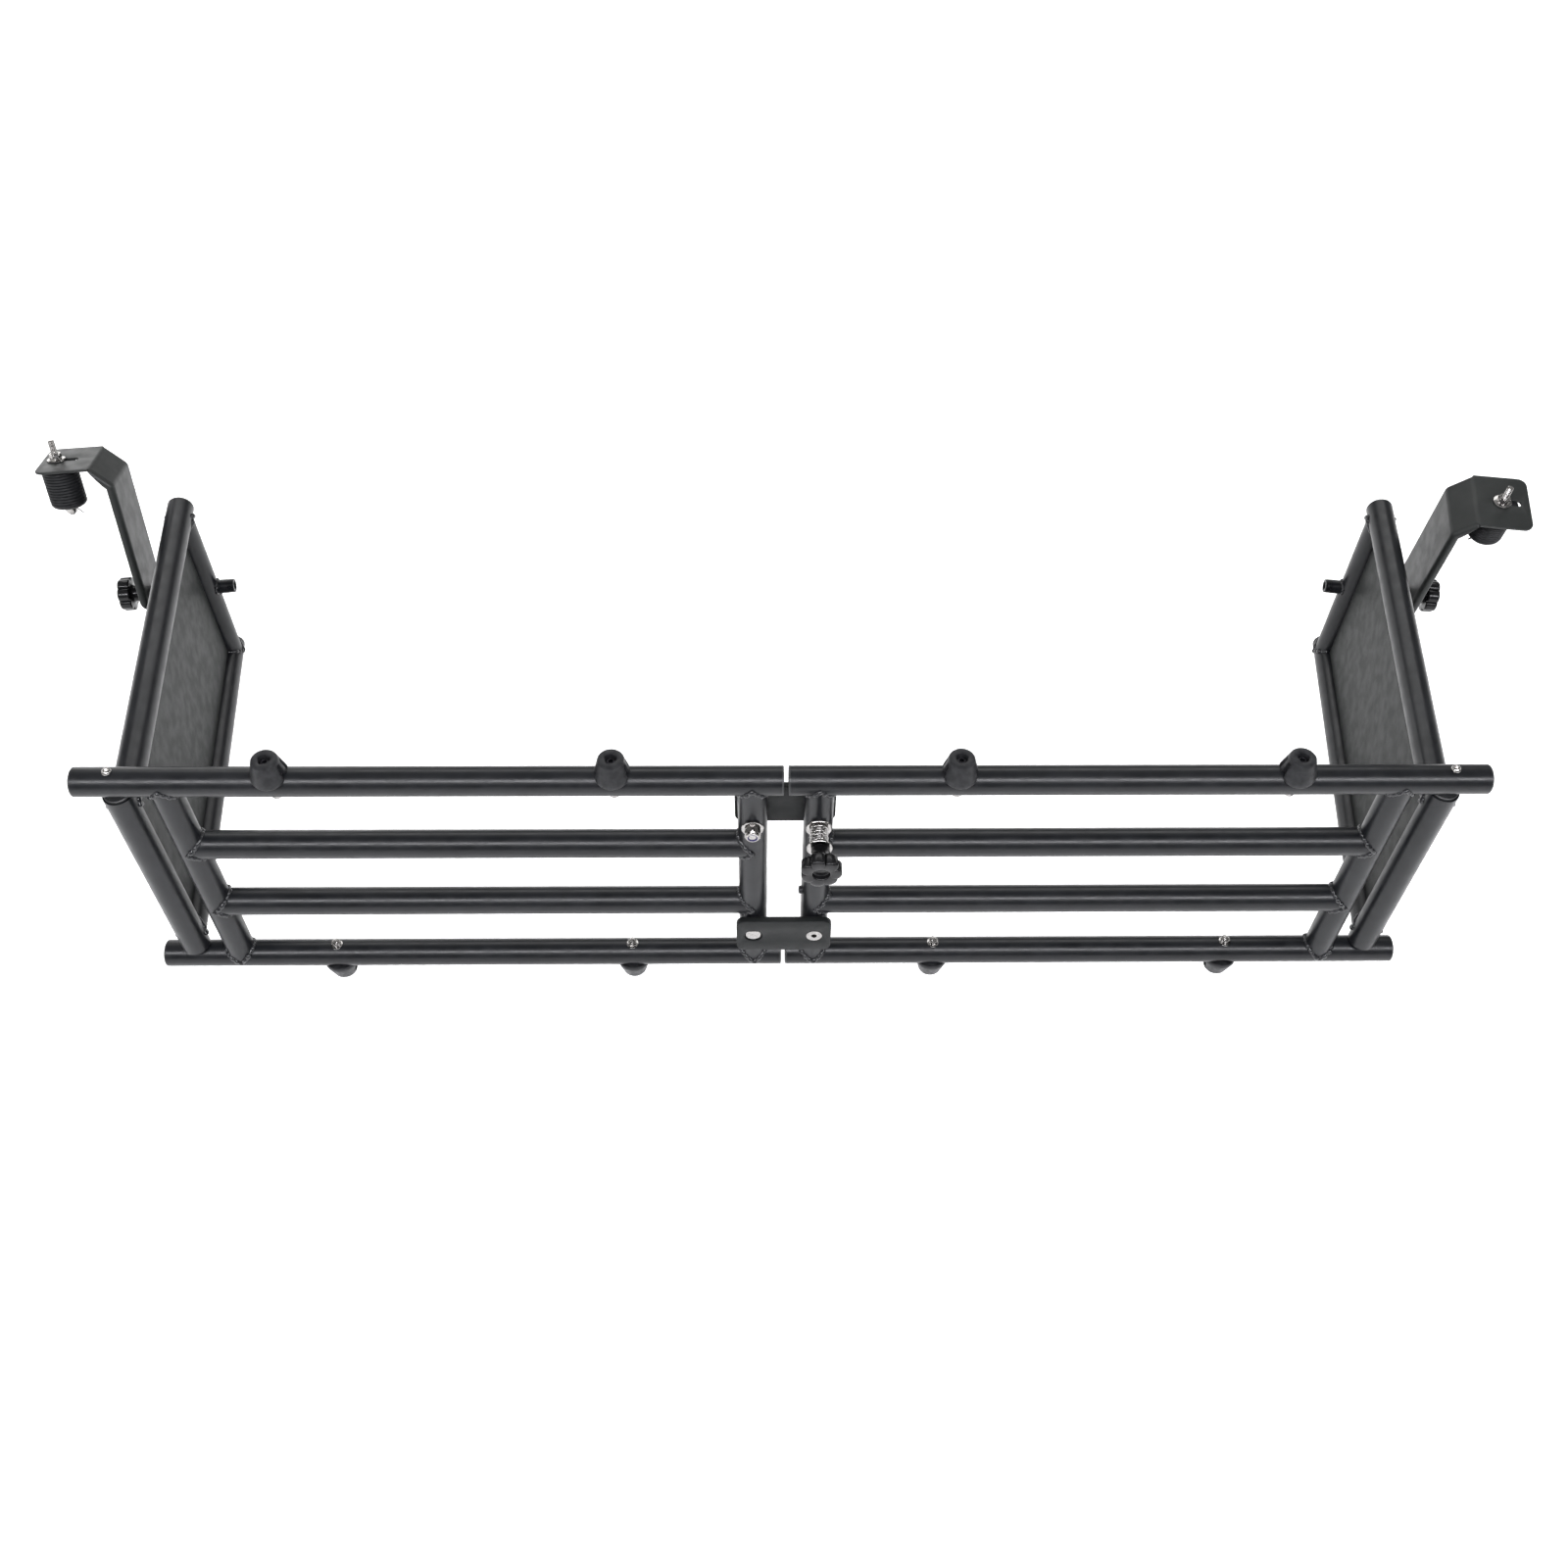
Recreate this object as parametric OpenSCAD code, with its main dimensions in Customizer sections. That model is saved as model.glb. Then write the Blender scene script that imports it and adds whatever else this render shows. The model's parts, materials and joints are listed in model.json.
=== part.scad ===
// Folding cage for a pickup bed: a gate in two halves, two hinged side panels and two
// hanging brackets with expansion plugs. Millimetres, +Z up, X across the vehicle, +Y to
// the rear ends of the side panels. The origin is on the floor under the middle of the cage.

/* [Gate] */
// Overall length of the rails, both halves and the gap between them
rail_length = 1480; // [1400:10:1600]
// Distance between the axes of the top and the bottom rail
rail_spacing = 322; // [280:5:380]
// Gap between the two halves at the middle
half_gap = 5; // [3:0.5:8]
// Distance of the inner posts from the middle
inner_post_x = 35.5; // [32:0.5:40]
// Distance of the outer posts from the middle
outer_post_x = 650; // [620:0.5:660]
// Distance of the inner bumpers from the middle
inner_bumper_x = 181; // [150:1:220]
// Distance of the outer bumpers from the middle
outer_bumper_x = 535; // [480:1:560]

/* [Tubes] */
// Outer diameter of every tube
tube_d = 31.8; // [25:0.1:34]
// Wall thickness of every tube
tube_wall = 1.5; // [1.2:0.1:2.5]
// Thickness of the visible rim of an end cap
cap_rim = 2; // [1.5:0.5:3]

/* [Side panels] */
// Distance of the panel pivots from the middle
pivot_x = 701; // [690:0.5:708]
// Angle by which the left panel stands open outward from square
left_splay = 7; // [-50:1:70]
// Angle by which the right panel stands open outward from square
right_splay = 8; // [-50:1:70]
// Distance from the pivot axis to the axis of the rear post
rear_post_d = 472; // [420:1:520]
// Distance from the pivot axis to the rear ends of the long tubes
panel_depth = 491; // [489:1:545]
// Height of a long tube's axis inside the rail beside it
panel_inset = 40; // [34:0.5:50]
// Thickness of the infill sheet
infill_t = 2; // [1.5:0.5:3]

/* [Brackets] */
// Backward lean of the left bracket about its pivot
left_lean = 17; // [-60:1:60]
// Backward lean of the right bracket about its pivot
right_lean = -9; // [-60:1:60]
// Sheet thickness of a bracket
sheet_t = 3; // [2:0.5:4]
// Width of a bracket
bracket_w = 82.5; // [60:1:90]
// Height of the arm from the pivot to the first bend
arm_h = 164; // [140:1:190]
// Size of the 45 degree facet between the arm and the top flange
facet = 23.5; // [15:1:35]
// Reach of the top flange from the arm's inner face
bracket_reach = 89; // [80:1:110]
// Distance from the panel's mid-plane to the arm's inner face
bracket_offset = 66; // [60:0.1:80]
// Distance of the left plug from the panel's mid-plane
left_plug_e = 137.5; // [118:0.5:139]
// Distance of the right plug from the panel's mid-plane
right_plug_e = 121.5; // [118:0.5:139]

/* [Expansion plugs] */
// Diameter of a rubber plug
plug_d = 43; // [38:1:50]
// Length of a rubber plug
plug_length = 56; // [45:1:70]
// Thread diameter of the plug stud
stud_d = 8; // [8:1:8]

/* [Centre joint] */
// Width of a joint plate
plate_w = 110; // [96:1:120]
// Height of a joint plate
plate_h = 58; // [45:1:60]
// Thickness of a joint plate
plate_t = 8; // [5:0.5:10]
// Height of the fasteners in the upper plate above the bottom rail's axis
upper_joint_z = 262; // [250:1:266]
// Height of the fasteners in the lower plate above the bottom rail's axis
lower_joint_z = 67; // [55:0.5:75]
// Thread diameter of the joint fasteners and of the clamp screws
joint_thread_d = 10; // [10:1:10]

/* [Knobs] */
// Diameter of a star knob over its lobes
knob_d = 46; // [36:1:50]
// Number of lobes of a star knob
knob_lobes = 7; // [5:1:10]
// Thickness of the star
knob_t = 15; // [10:1:18]

/* [Hidden] */
$fn = 64;

LEFT = -1;
RIGHT = 1;
tube_r = tube_d / 2;
bore_r = tube_r - tube_wall;
weld_gap = 0.05;
slip = 0.3;
rail_half = rail_length / 2;

// Bumpers
bumper_top = 36;
bumper_base_z = 12;
bumper_base_r = 18.5;
bumper_lip = 2.5;
bumper_tip_r = 13.4;
bumper_recess_r = 6.2;
bumper_recess = 10;
bumper_bolt_r = 3;
bumper_bolt_out = 10;
bumper_hole_r = 3.3;
bumper_xs = [inner_bumper_x, outer_bumper_x];

// Place of the gate in the object: its plane, and the bottom rail's height on the feet
gate_y = -238;
gate_z = bumper_top;

// Rungs divide the gate's height into three equal parts
rung_zs = [rail_spacing / 3, rail_spacing * 2 / 3];

// Pivots of the side panels
pivot_screw_r = 3;
pivot_head_r = 5.25;
pivot_head_h = 3.3;
head_gap = 0.2;
plug_rim = 3;
pivot_play = 0.5;
post_low = tube_r + pivot_play + plug_rim;
post_high = rail_spacing - post_low;
pivot_screw_end = tube_r + pivot_play + 20;

// Side panels
top_tube_z = rail_spacing - panel_inset;
stub_z = rail_spacing / 2;
stub_r = 9;
stub_in = 36.7;
clamp_r = joint_thread_d / 2;
thread_gap = 0.05;
turning_gap = 0.08;

// Brackets, in their own frame: e outward, u back, h up from the pivot
arm_bottom = -32;
return_w = 9.5;
return_bottom = -5;
arm_corner_r = 30;
flange_corner_r = 11;
flange_h = arm_h + facet;
flange_e = bracket_offset + bracket_reach;
slot_mid_e = 128;
slot_run = 24;
slot_r = stud_d / 2 + 0.5;
clamp_screw_in = 45;
clamp_hub = 24;
screw_in_knob = 5;

// Plug fasteners
nut_flange_r = 11;
nut_flange_t = 2;
stud_up = 26;
stud_tail = 12;
plug_edge_r = 6;
wing_hub_r = 7.5;
wing_hub_h = 9;
wing_span = 30;
wing_t = 3;

// Centre joint fasteners
plate_gap = 0.3;
plate_back = tube_r + plate_gap;
plate_corner_r = 10;
head_af = 17;
head_h = 6.4;
lock_nut_h = 12;
joint_washer_r = 12;
joint_washer_t = 2;
pin_r = 10;
pin_dome_r = 14;
pin_out = 0.5;
csk_r = 9.3;
csk_socket_r = 2.9;
csk_from = plate_back + plate_t - csk_r + clamp_r;
joint_screw_back = tube_r - 2;
washer_r = 14;
washer_t = 2;
spring_len = 24;
spring_r = 9.2;
wire_r = 1.1;
spring_turns = 4;
hub_r = 10;
release_hub = 19.5;
release_screw_back = 26;
knob_recess_r = 9;
knob_recess = 5;
washer_face = tube_r + plate_gap + washer_t;
thrust_face = washer_face + spring_len + washer_t;

// ---------- helpers ----------

// From the gate's frame (origin on the bottom rail's axis, at the middle) to the object's
module at_gate() translate([0, gate_y, gate_z]) children();

// Mirror to one side of the gate: shapes are drawn on the right
module on_side(side) at_gate() mirror([side < 0 ? 1 : 0, 0, 0]) children();

// Panel frame: X outward from the panel's mid-plane, Y back along the panel
module on_panel(side)
    on_side(side) translate([pivot_x, 0, 0])
        rotate([0, 0, side < 0 ? -left_splay : -right_splay]) children();

// Bracket frame: X outward, Y back, Z up, origin on the pivot axis
module on_bracket(side)
    on_panel(side) translate([0, rear_post_d, stub_z])
        rotate([side < 0 ? -left_lean : -right_lean, 0, 0]) children();

module along_x() rotate([0, 90, 0]) children();

module along_back() rotate([-90, 0, 0]) children();

module along_front() rotate([90, 0, 0]) children();

module tube(length) difference() {
    cylinder(r = tube_r, h = length);
    translate([0, 0, -1]) cylinder(r = bore_r, h = length + 2);
}

module end_cap(rim = cap_rim) {
    cylinder(r = tube_r, h = rim);
    translate([0, 0, -10]) cylinder(r = bore_r - 0.1, h = 10);
}

module hex(across_flats, height)
    cylinder(r = across_flats / 2 / cos(30), h = height, $fn = 6);

module ring(outer_r, inner_r, height) difference() {
    cylinder(r = outer_r, h = height);
    translate([0, 0, -1]) cylinder(r = inner_r, h = height + 2);
}

module rounded_rect(w, h, r) {
    square([w - 2 * r, h], center = true);
    square([w, h - 2 * r], center = true);
    for (x = [-1, 1], y = [-1, 1])
        translate([x * (w / 2 - r), y * (h / 2 - r)]) circle(r = r);
}

// Star knob from its back face at z = 0: a round hub and a star with full lobes
module star_knob(hub_len) {
    lobe_r = knob_d * 0.12;
    lobe_ring = knob_d / 2 - lobe_r;
    difference() {
        union() {
            cylinder(r = hub_r, h = hub_len + 1);
            translate([0, 0, hub_len]) linear_extrude(knob_t) {
                circle(r = lobe_ring);
                for (i = [0 : knob_lobes - 1])
                    rotate(i * 360 / knob_lobes) translate([lobe_ring, 0]) circle(r = lobe_r);
            }
        }
        translate([0, 0, -1])
            cylinder(r = clamp_r + thread_gap, h = 1 + hub_len + screw_in_knob + slip);
        translate([0, 0, hub_len + knob_t - knob_recess])
            cylinder(r = knob_recess_r, h = knob_recess + 1);
    }
}

// ---------- gate ----------

module rail(z) along_x_from(half_gap / 2 + cap_rim, z) difference() {
    tube(rail_half - half_gap / 2 - 2 * cap_rim);
    for (x = bumper_xs) across_rail(x) cylinder(r = bumper_hole_r, h = 2 * tube_d, center = true);
    across_rail(pivot_x) cylinder(r = pivot_screw_r + turning_gap, h = 2 * tube_d, center = true);
}

module along_x_from(x, z) translate([x, 0, z]) along_x() children();

// A hole's place in a rail, measured from the middle of the gate
module across_rail(x)
    translate([0, 0, x - half_gap / 2 - cap_rim]) rotate([0, 90, 0]) children();

// The rungs are coped to the posts
module rungs() difference() {
    for (z = rung_zs)
        along_x_from(inner_post_x, z) tube(outer_post_x - inner_post_x);
    for (x = [inner_post_x, outer_post_x])
        translate([x, 0, 0]) cylinder(r = tube_r + weld_gap, h = rail_spacing);
}

// The posts are coped to the rails; the inner one is drilled for the joint fasteners
module gate_posts() difference() {
    for (x = [inner_post_x, outer_post_x])
        translate([x, 0, 0]) tube(rail_spacing);
    for (z = [0, rail_spacing])
        along_x_from(0, z) cylinder(r = tube_r + weld_gap, h = rail_half);
    for (z = [lower_joint_z, upper_joint_z])
        translate([inner_post_x, 0, z]) along_back()
            cylinder(r = clamp_r + slip, h = 2 * tube_d, center = true);
}

module rail_caps() for (z = [0, rail_spacing]) {
    along_x_from(rail_half - cap_rim, z) end_cap();
    translate([half_gap / 2 + cap_rim, 0, z]) rotate([0, -90, 0]) end_cap();
}

// One bumper over a rail whose axis is the X axis, pointing up
module bumper() difference() {
    rotate_extrude() polygon([
        [bumper_hole_r, bumper_base_z],
        [bumper_base_r, bumper_base_z],
        [bumper_base_r, bumper_base_z + bumper_lip],
        [bumper_tip_r, bumper_top],
        [bumper_recess_r, bumper_top],
        [bumper_recess_r, bumper_top - bumper_recess],
        [bumper_hole_r, bumper_top - bumper_recess]
    ]);
    along_x() cylinder(r = tube_r + weld_gap, h = 3 * tube_d, center = true);
}

// Socket-head bolt of a bumper: head in the recess, end beyond the rail
module bumper_bolt() {
    translate([0, 0, bumper_top - bumper_recess]) difference() {
        cylinder(r = 5, h = 6);
        translate([0, 0, 3]) hex(5, 4);
    }
    translate([0, 0, -tube_r - bumper_bolt_out])
        cylinder(r = bumper_bolt_r, h = tube_r + bumper_bolt_out + bumper_top - bumper_recess);
}

module bumper_nut() translate([0, 0, -tube_r - 6.1]) difference() {
    union() {
        hex(10, 6);
        translate([0, 0, 4.6]) cylinder(r = 7, h = 1.4);
    }
    translate([0, 0, -1]) cylinder(r = bumper_bolt_r + thread_gap, h = 8);
}

// Puts a child above the top rail at both bumper places
module above_rail() for (x = bumper_xs) translate([x, 0, rail_spacing]) children();

// Puts a child, upside down, below the bottom rail at both bumper places
module below_rail() for (x = bumper_xs) translate([x, 0, 0]) mirror([0, 0, 1]) children();

// ---------- centre joint ----------

// Plate from its inner face at z = 0
module joint_plate() linear_extrude(plate_t) rounded_rect(plate_w, plate_h, plate_corner_r);

module upper_joint_plate() color("dimgray") at_gate() difference() {
    translate([0, plate_back + plate_t, upper_joint_z]) along_front() joint_plate();
    translate([-inner_post_x, 0, upper_joint_z]) along_back()
        cylinder(r = clamp_r + slip, h = 2 * tube_d);
    translate([inner_post_x, 0, upper_joint_z]) along_back()
        cylinder(r = clamp_r + thread_gap, h = 2 * tube_d);
}

module lower_joint_plate() color("dimgray") at_gate() difference() {
    translate([0, -plate_back, lower_joint_z]) along_front() joint_plate();
    translate([-inner_post_x, 0, lower_joint_z]) along_front()
        cylinder(r = pin_r + slip, h = 2 * tube_d);
    translate([inner_post_x, 0, lower_joint_z]) along_front() {
        cylinder(r = clamp_r + thread_gap, h = 2 * tube_d);
        translate([0, 0, csk_from])
            cylinder(r1 = clamp_r, r2 = csk_r + thread_gap, h = csk_r - clamp_r + thread_gap);
    }
}

module joint_bolt() color("silver") at_gate() translate([-inner_post_x, 0, upper_joint_z]) {
    translate([0, plate_back + plate_t, 0]) along_back() hex(head_af, head_h);
    translate([0, plate_back + plate_t, 0]) along_front()
        cylinder(r = clamp_r, h = plate_t + 2 * plate_back + joint_washer_t + lock_nut_h - 1);
}

module joint_lock_nut() color("silver") at_gate()
    translate([-inner_post_x, -plate_back, upper_joint_z]) along_front() difference() {
        union() {
            cylinder(r = joint_washer_r, h = joint_washer_t);
            translate([0, 0, joint_washer_t]) hex(head_af, lock_nut_h - 3);
            translate([0, 0, joint_washer_t]) cylinder(r = 7.5, h = lock_nut_h);
        }
        translate([0, 0, -1]) cylinder(r = clamp_r + thread_gap, h = lock_nut_h + 8);
    }

// Domed pin that the lower plate slips over, screwed through the left inner post
module guide_pin() color("silver") at_gate()
    translate([-inner_post_x, 0, lower_joint_z]) along_front() {
        translate([0, 0, -joint_screw_back])
            cylinder(r = clamp_r, h = joint_screw_back + plate_back);
        intersection() {
            translate([0, 0, plate_back]) cylinder(r = pin_r, h = plate_t + pin_out);
            translate([0, 0, plate_back + plate_t + pin_out - pin_dome_r])
                sphere(r = pin_dome_r);
        }
    }

module plate_screw() color("silver") at_gate()
    translate([inner_post_x, 0, lower_joint_z]) along_front() difference() {
        union() {
            translate([0, 0, -joint_screw_back])
                cylinder(r = clamp_r, h = joint_screw_back + csk_from);
            translate([0, 0, csk_from])
                cylinder(r1 = clamp_r, r2 = csk_r, h = csk_r - clamp_r);
        }
        translate([0, 0, plate_back + plate_t - 4]) hex(2 * csk_socket_r, 5);
    }

module post_washer() color("silver") at_gate()
    translate([inner_post_x, -plate_back, upper_joint_z]) along_front()
        ring(washer_r, clamp_r + slip, washer_t);

module thrust_washer() color("silver") at_gate()
    translate([inner_post_x, -washer_face - spring_len, upper_joint_z]) along_front()
        ring(washer_r, clamp_r + slip, washer_t);

// Points of one ring of the spring's wire, at angle a round the coil
function wire_ring(a, sides) =
    let (z = wire_r + (spring_len - 2 * wire_r) * a / (360 * spring_turns))
    [for (i = [0 : sides - 1])
        let (t = 360 * i / sides, r = spring_r + wire_r * cos(t))
        [r * cos(a), r * sin(a), z + wire_r * sin(t)]];

module release_spring() color("silver") at_gate()
    translate([inner_post_x, -washer_face, upper_joint_z]) along_front() {
        sides = 8;
        step = 15;
        rings = 360 * spring_turns / step;
        points = [for (k = [0 : rings]) each wire_ring(k * step, sides)];
        skin = [for (k = [0 : rings - 1], i = [0 : sides - 1])
            [k * sides + i, k * sides + (i + 1) % sides,
             (k + 1) * sides + (i + 1) % sides, (k + 1) * sides + i]];
        start = [for (i = [sides - 1 : -1 : 0]) i];
        end = [for (i = [0 : sides - 1]) rings * sides + i];
        polyhedron(points, concat(skin, [start, end]), convexity = 8);
    }

module release_screw() color("silver") at_gate()
    translate([inner_post_x, release_screw_back, upper_joint_z]) along_front()
        cylinder(r = clamp_r, h = release_screw_back + thrust_face + release_hub + screw_in_knob);

module release_knob() color("#181818") at_gate()
    translate([inner_post_x, -thrust_face - plate_gap, upper_joint_z]) along_front()
        star_knob(release_hub);

// ---------- side panels ----------

module front_post() translate([0, 0, post_low]) tube(post_high - post_low);

// The rear post is coped to the long tubes and drilled for the pivot stub
module rear_post() difference() {
    $fn = 128;
    translate([0, rear_post_d, panel_inset]) tube(top_tube_z - panel_inset);
    for (z = [panel_inset, top_tube_z])
        translate([0, 0, z]) along_back() cylinder(r = tube_r + weld_gap, h = panel_depth);
    translate([0, rear_post_d, stub_z]) along_x()
        cylinder(r = stub_r + weld_gap, h = 2 * tube_d, center = true);
}

module long_tube(z) difference() {
    translate([0, 0, z]) along_back() tube(panel_depth - cap_rim);
    cylinder(r = tube_r + weld_gap, h = rail_spacing);
}

module infill() {
    edge = tube_r + weld_gap;
    translate([-infill_t / 2, edge, panel_inset + edge])
        cube([infill_t, rear_post_d - 2 * edge, top_tube_z - panel_inset - 2 * edge]);
}

// Round bar through the rear post, threaded through its length
module pivot_stub() translate([-stub_in, rear_post_d, stub_z]) along_x()
    ring(stub_r, clamp_r + thread_gap, stub_in + bracket_offset - slip);

module pivot_plug() difference() {
    end_cap(plug_rim);
    translate([0, 0, -11]) cylinder(r = pivot_screw_r + thread_gap, h = 20);
}

module panel_plugs() {
    translate([0, 0, post_high]) pivot_plug();
    translate([0, 0, post_low]) mirror([0, 0, 1]) pivot_plug();
    for (z = [panel_inset, top_tube_z])
        translate([0, panel_depth - cap_rim, z]) along_back() end_cap();
}

module pivot_screw() {
    translate([0, 0, tube_r + head_gap]) difference() {
        cylinder(r1 = pivot_head_r, r2 = pivot_head_r - 1.6, h = pivot_head_h);
        translate([0, 0, pivot_head_h - 2]) hex(4, 3);
    }
    translate([0, 0, -pivot_screw_end])
        cylinder(r = pivot_screw_r, h = pivot_screw_end + tube_r + head_gap);
}

module pivot_screws() {
    translate([0, 0, rail_spacing]) pivot_screw();
    mirror([0, 0, 1]) pivot_screw();
}

// ---------- brackets ----------

// Outline of the bent strip in the e-h plane: arm, facet and flange
module strip_outline() {
    t = sheet_t;
    k = t * tan(22.5);
    polygon([
        [0, arm_bottom], [0, arm_h], [facet, flange_h], [bracket_reach, flange_h],
        [bracket_reach, flange_h - t], [facet + k, flange_h - t], [t, arm_h - k],
        [t, arm_bottom]
    ]);
}

// Edge return of the arm, ending under the facet
module return_outline()
    polygon([[0, return_bottom], [0, arm_h], [return_w, arm_h + return_w],
             [return_w, return_bottom + 6], [return_w - 6, return_bottom]]);

module flange_corner() difference() {
    translate([-flange_corner_r, -flange_corner_r]) square(flange_corner_r + 1);
    translate([-flange_corner_r, -flange_corner_r]) circle(r = flange_corner_r);
}

module arm_corner() difference() {
    translate([-arm_corner_r, -arm_corner_r]) square(arm_corner_r + 1);
    translate([-arm_corner_r, -arm_corner_r]) circle(r = arm_corner_r);
}

module bracket() difference() {
    translate([bracket_offset, 0, 0]) {
        rotate([90, 0, 0]) linear_extrude(bracket_w, center = true) strip_outline();
        for (u = [-1, 1])
            translate([0, u * (bracket_w - sheet_t) / 2, 0]) rotate([90, 0, 0])
                linear_extrude(sheet_t, center = true) return_outline();
    }
    // Rounded corners of the flange
    for (v = [0, 1]) mirror([0, v, 0])
        translate([flange_e, bracket_w / 2, flange_h - 2 * sheet_t])
            linear_extrude(3 * sheet_t) flange_corner();
    // Rounded foot of the arm
    for (v = [0, 1]) mirror([0, v, 0])
        translate([bracket_offset - 1, bracket_w / 2, arm_bottom]) rotate([90, 0, 90])
            mirror([0, 1, 0]) linear_extrude(sheet_t + 2) arm_corner();
    translate([bracket_offset - 1, 0, 0]) along_x()
        cylinder(r = clamp_r + turning_gap, h = sheet_t + 2);
    // Slot for the plug stud
    translate([slot_mid_e, 0, flange_h]) {
        cube([slot_run, 2 * slot_r, 3 * sheet_t], center = true);
        for (x = [-1, 1])
            translate([x * slot_run / 2, 0, 0])
                cylinder(r = slot_r, h = 3 * sheet_t, center = true);
    }
}

module clamp_knob() translate([bracket_offset + sheet_t + slip, 0, 0]) along_x()
    star_knob(clamp_hub);

// Threaded stud of the knob, through the arm into the stub
module clamp_screw() translate([bracket_offset - clamp_screw_in, 0, 0]) along_x()
    cylinder(r = clamp_r, h = clamp_screw_in + sheet_t + slip + clamp_hub + screw_in_knob);

// Plug frame: origin in the flange's upper face, on the stud's axis
module on_plug(side)
    on_bracket(side) translate([side < 0 ? left_plug_e : right_plug_e, 0, flange_h]) children();

module rail_plug() {
    top = -sheet_t - slip;
    bottom = top - plug_length;
    rotate_extrude() {
        difference() {
            translate([stud_d / 2 + slip, bottom])
                square([(plug_d - stud_d) / 2 - slip, plug_length]);
            translate([plug_d / 2 - plug_edge_r, bottom - 1])
                square([plug_edge_r + 1, plug_edge_r + 1]);
        }
        translate([plug_d / 2 - plug_edge_r, bottom + plug_edge_r]) circle(r = plug_edge_r);
    }
}

module plug_stud() {
    low = -sheet_t - slip - plug_length - slip - stud_tail;
    translate([0, 0, low]) cylinder(r = stud_d / 2, h = stud_up - low);
}

module plug_nut() translate([0, 0, slip]) difference() {
    union() {
        cylinder(r = nut_flange_r, h = nut_flange_t);
        hex(13, 8.5);
    }
    translate([0, 0, -1]) cylinder(r = stud_d / 2 + thread_gap, h = 12);
}

// Wing nut below the plug, wings pointing down
module wing_nut() translate([0, 0, -sheet_t - 2 * slip - plug_length]) mirror([0, 0, 1])
    difference() {
        union() {
            cylinder(r = wing_hub_r, h = wing_hub_h);
            cylinder(r = wing_hub_r + 2, h = 1.5);
            for (v = [0, 1]) mirror([v, 0, 0]) rotate([90, 0, 0])
                linear_extrude(wing_t, center = true) {
                    translate([wing_span / 2 - 4, 10]) circle(r = 4);
                    polygon([[4, 0.5], [wing_hub_r + 2, 1], [wing_span / 2 - 0.2, 9],
                             [wing_span / 2 - 6.5, 13], [4, wing_hub_h]]);
                }
        }
        translate([0, 0, -1]) cylinder(r = stud_d / 2 + thread_gap, h = 20);
    }

// ---------- sub-parts ----------

module left_top_rail() color("#26262a") on_side(LEFT) rail(rail_spacing);
module left_bottom_rail() color("#26262a") on_side(LEFT) rail(0);
module left_rungs() color("#26262a") on_side(LEFT) rungs();
module left_gate_posts() color("#26262a") on_side(LEFT) gate_posts();
module left_rail_caps() color("#151515") on_side(LEFT) rail_caps();
module left_top_bumpers() color("#202020") on_side(LEFT) above_rail() bumper();
module left_feet() color("#202020") on_side(LEFT) below_rail() bumper();
module left_bumper_bolts() color("silver") on_side(LEFT) {
    above_rail() bumper_bolt();
    below_rail() bumper_bolt();
}
module left_bumper_nuts() color("silver") on_side(LEFT) {
    above_rail() bumper_nut();
    below_rail() bumper_nut();
}

module right_top_rail() color("#26262a") on_side(RIGHT) rail(rail_spacing);
module right_bottom_rail() color("#26262a") on_side(RIGHT) rail(0);
module right_rungs() color("#26262a") on_side(RIGHT) rungs();
module right_gate_posts() color("#26262a") on_side(RIGHT) gate_posts();
module right_rail_caps() color("#151515") on_side(RIGHT) rail_caps();
module right_top_bumpers() color("#202020") on_side(RIGHT) above_rail() bumper();
module right_feet() color("#202020") on_side(RIGHT) below_rail() bumper();
module right_bumper_bolts() color("silver") on_side(RIGHT) {
    above_rail() bumper_bolt();
    below_rail() bumper_bolt();
}
module right_bumper_nuts() color("silver") on_side(RIGHT) {
    above_rail() bumper_nut();
    below_rail() bumper_nut();
}

module left_front_post() color("#26262a") on_panel(LEFT) front_post();
module left_rear_post() color("#26262a") on_panel(LEFT) rear_post();
module left_panel_top_tube() color("#26262a") on_panel(LEFT) long_tube(top_tube_z);
module left_panel_bottom_tube() color("#26262a") on_panel(LEFT) long_tube(panel_inset);
module left_infill() color("#3c403f") on_panel(LEFT) infill();
module left_pivot_stub() color("#202022") on_panel(LEFT) pivot_stub();
module left_panel_plugs() color("#151515") on_panel(LEFT) panel_plugs();
module left_pivot_screws() color("silver") on_panel(LEFT) pivot_screws();

module right_front_post() color("#26262a") on_panel(RIGHT) front_post();
module right_rear_post() color("#26262a") on_panel(RIGHT) rear_post();
module right_panel_top_tube() color("#26262a") on_panel(RIGHT) long_tube(top_tube_z);
module right_panel_bottom_tube() color("#26262a") on_panel(RIGHT) long_tube(panel_inset);
module right_infill() color("#3c403f") on_panel(RIGHT) infill();
module right_pivot_stub() color("#202022") on_panel(RIGHT) pivot_stub();
module right_panel_plugs() color("#151515") on_panel(RIGHT) panel_plugs();
module right_pivot_screws() color("silver") on_panel(RIGHT) pivot_screws();

module left_bracket() color("#3a3c3e") on_bracket(LEFT) bracket();
module left_clamp_knob() color("#181818") on_bracket(LEFT) clamp_knob();
module left_clamp_screw() color("silver") on_bracket(LEFT) clamp_screw();
module left_rail_plug() color("#181818") on_plug(LEFT) rail_plug();
module left_plug_stud() color("silver") on_plug(LEFT) plug_stud();
module left_plug_nut() color("silver") on_plug(LEFT) plug_nut();
module left_wing_nut() color("silver") on_plug(LEFT) wing_nut();

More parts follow.
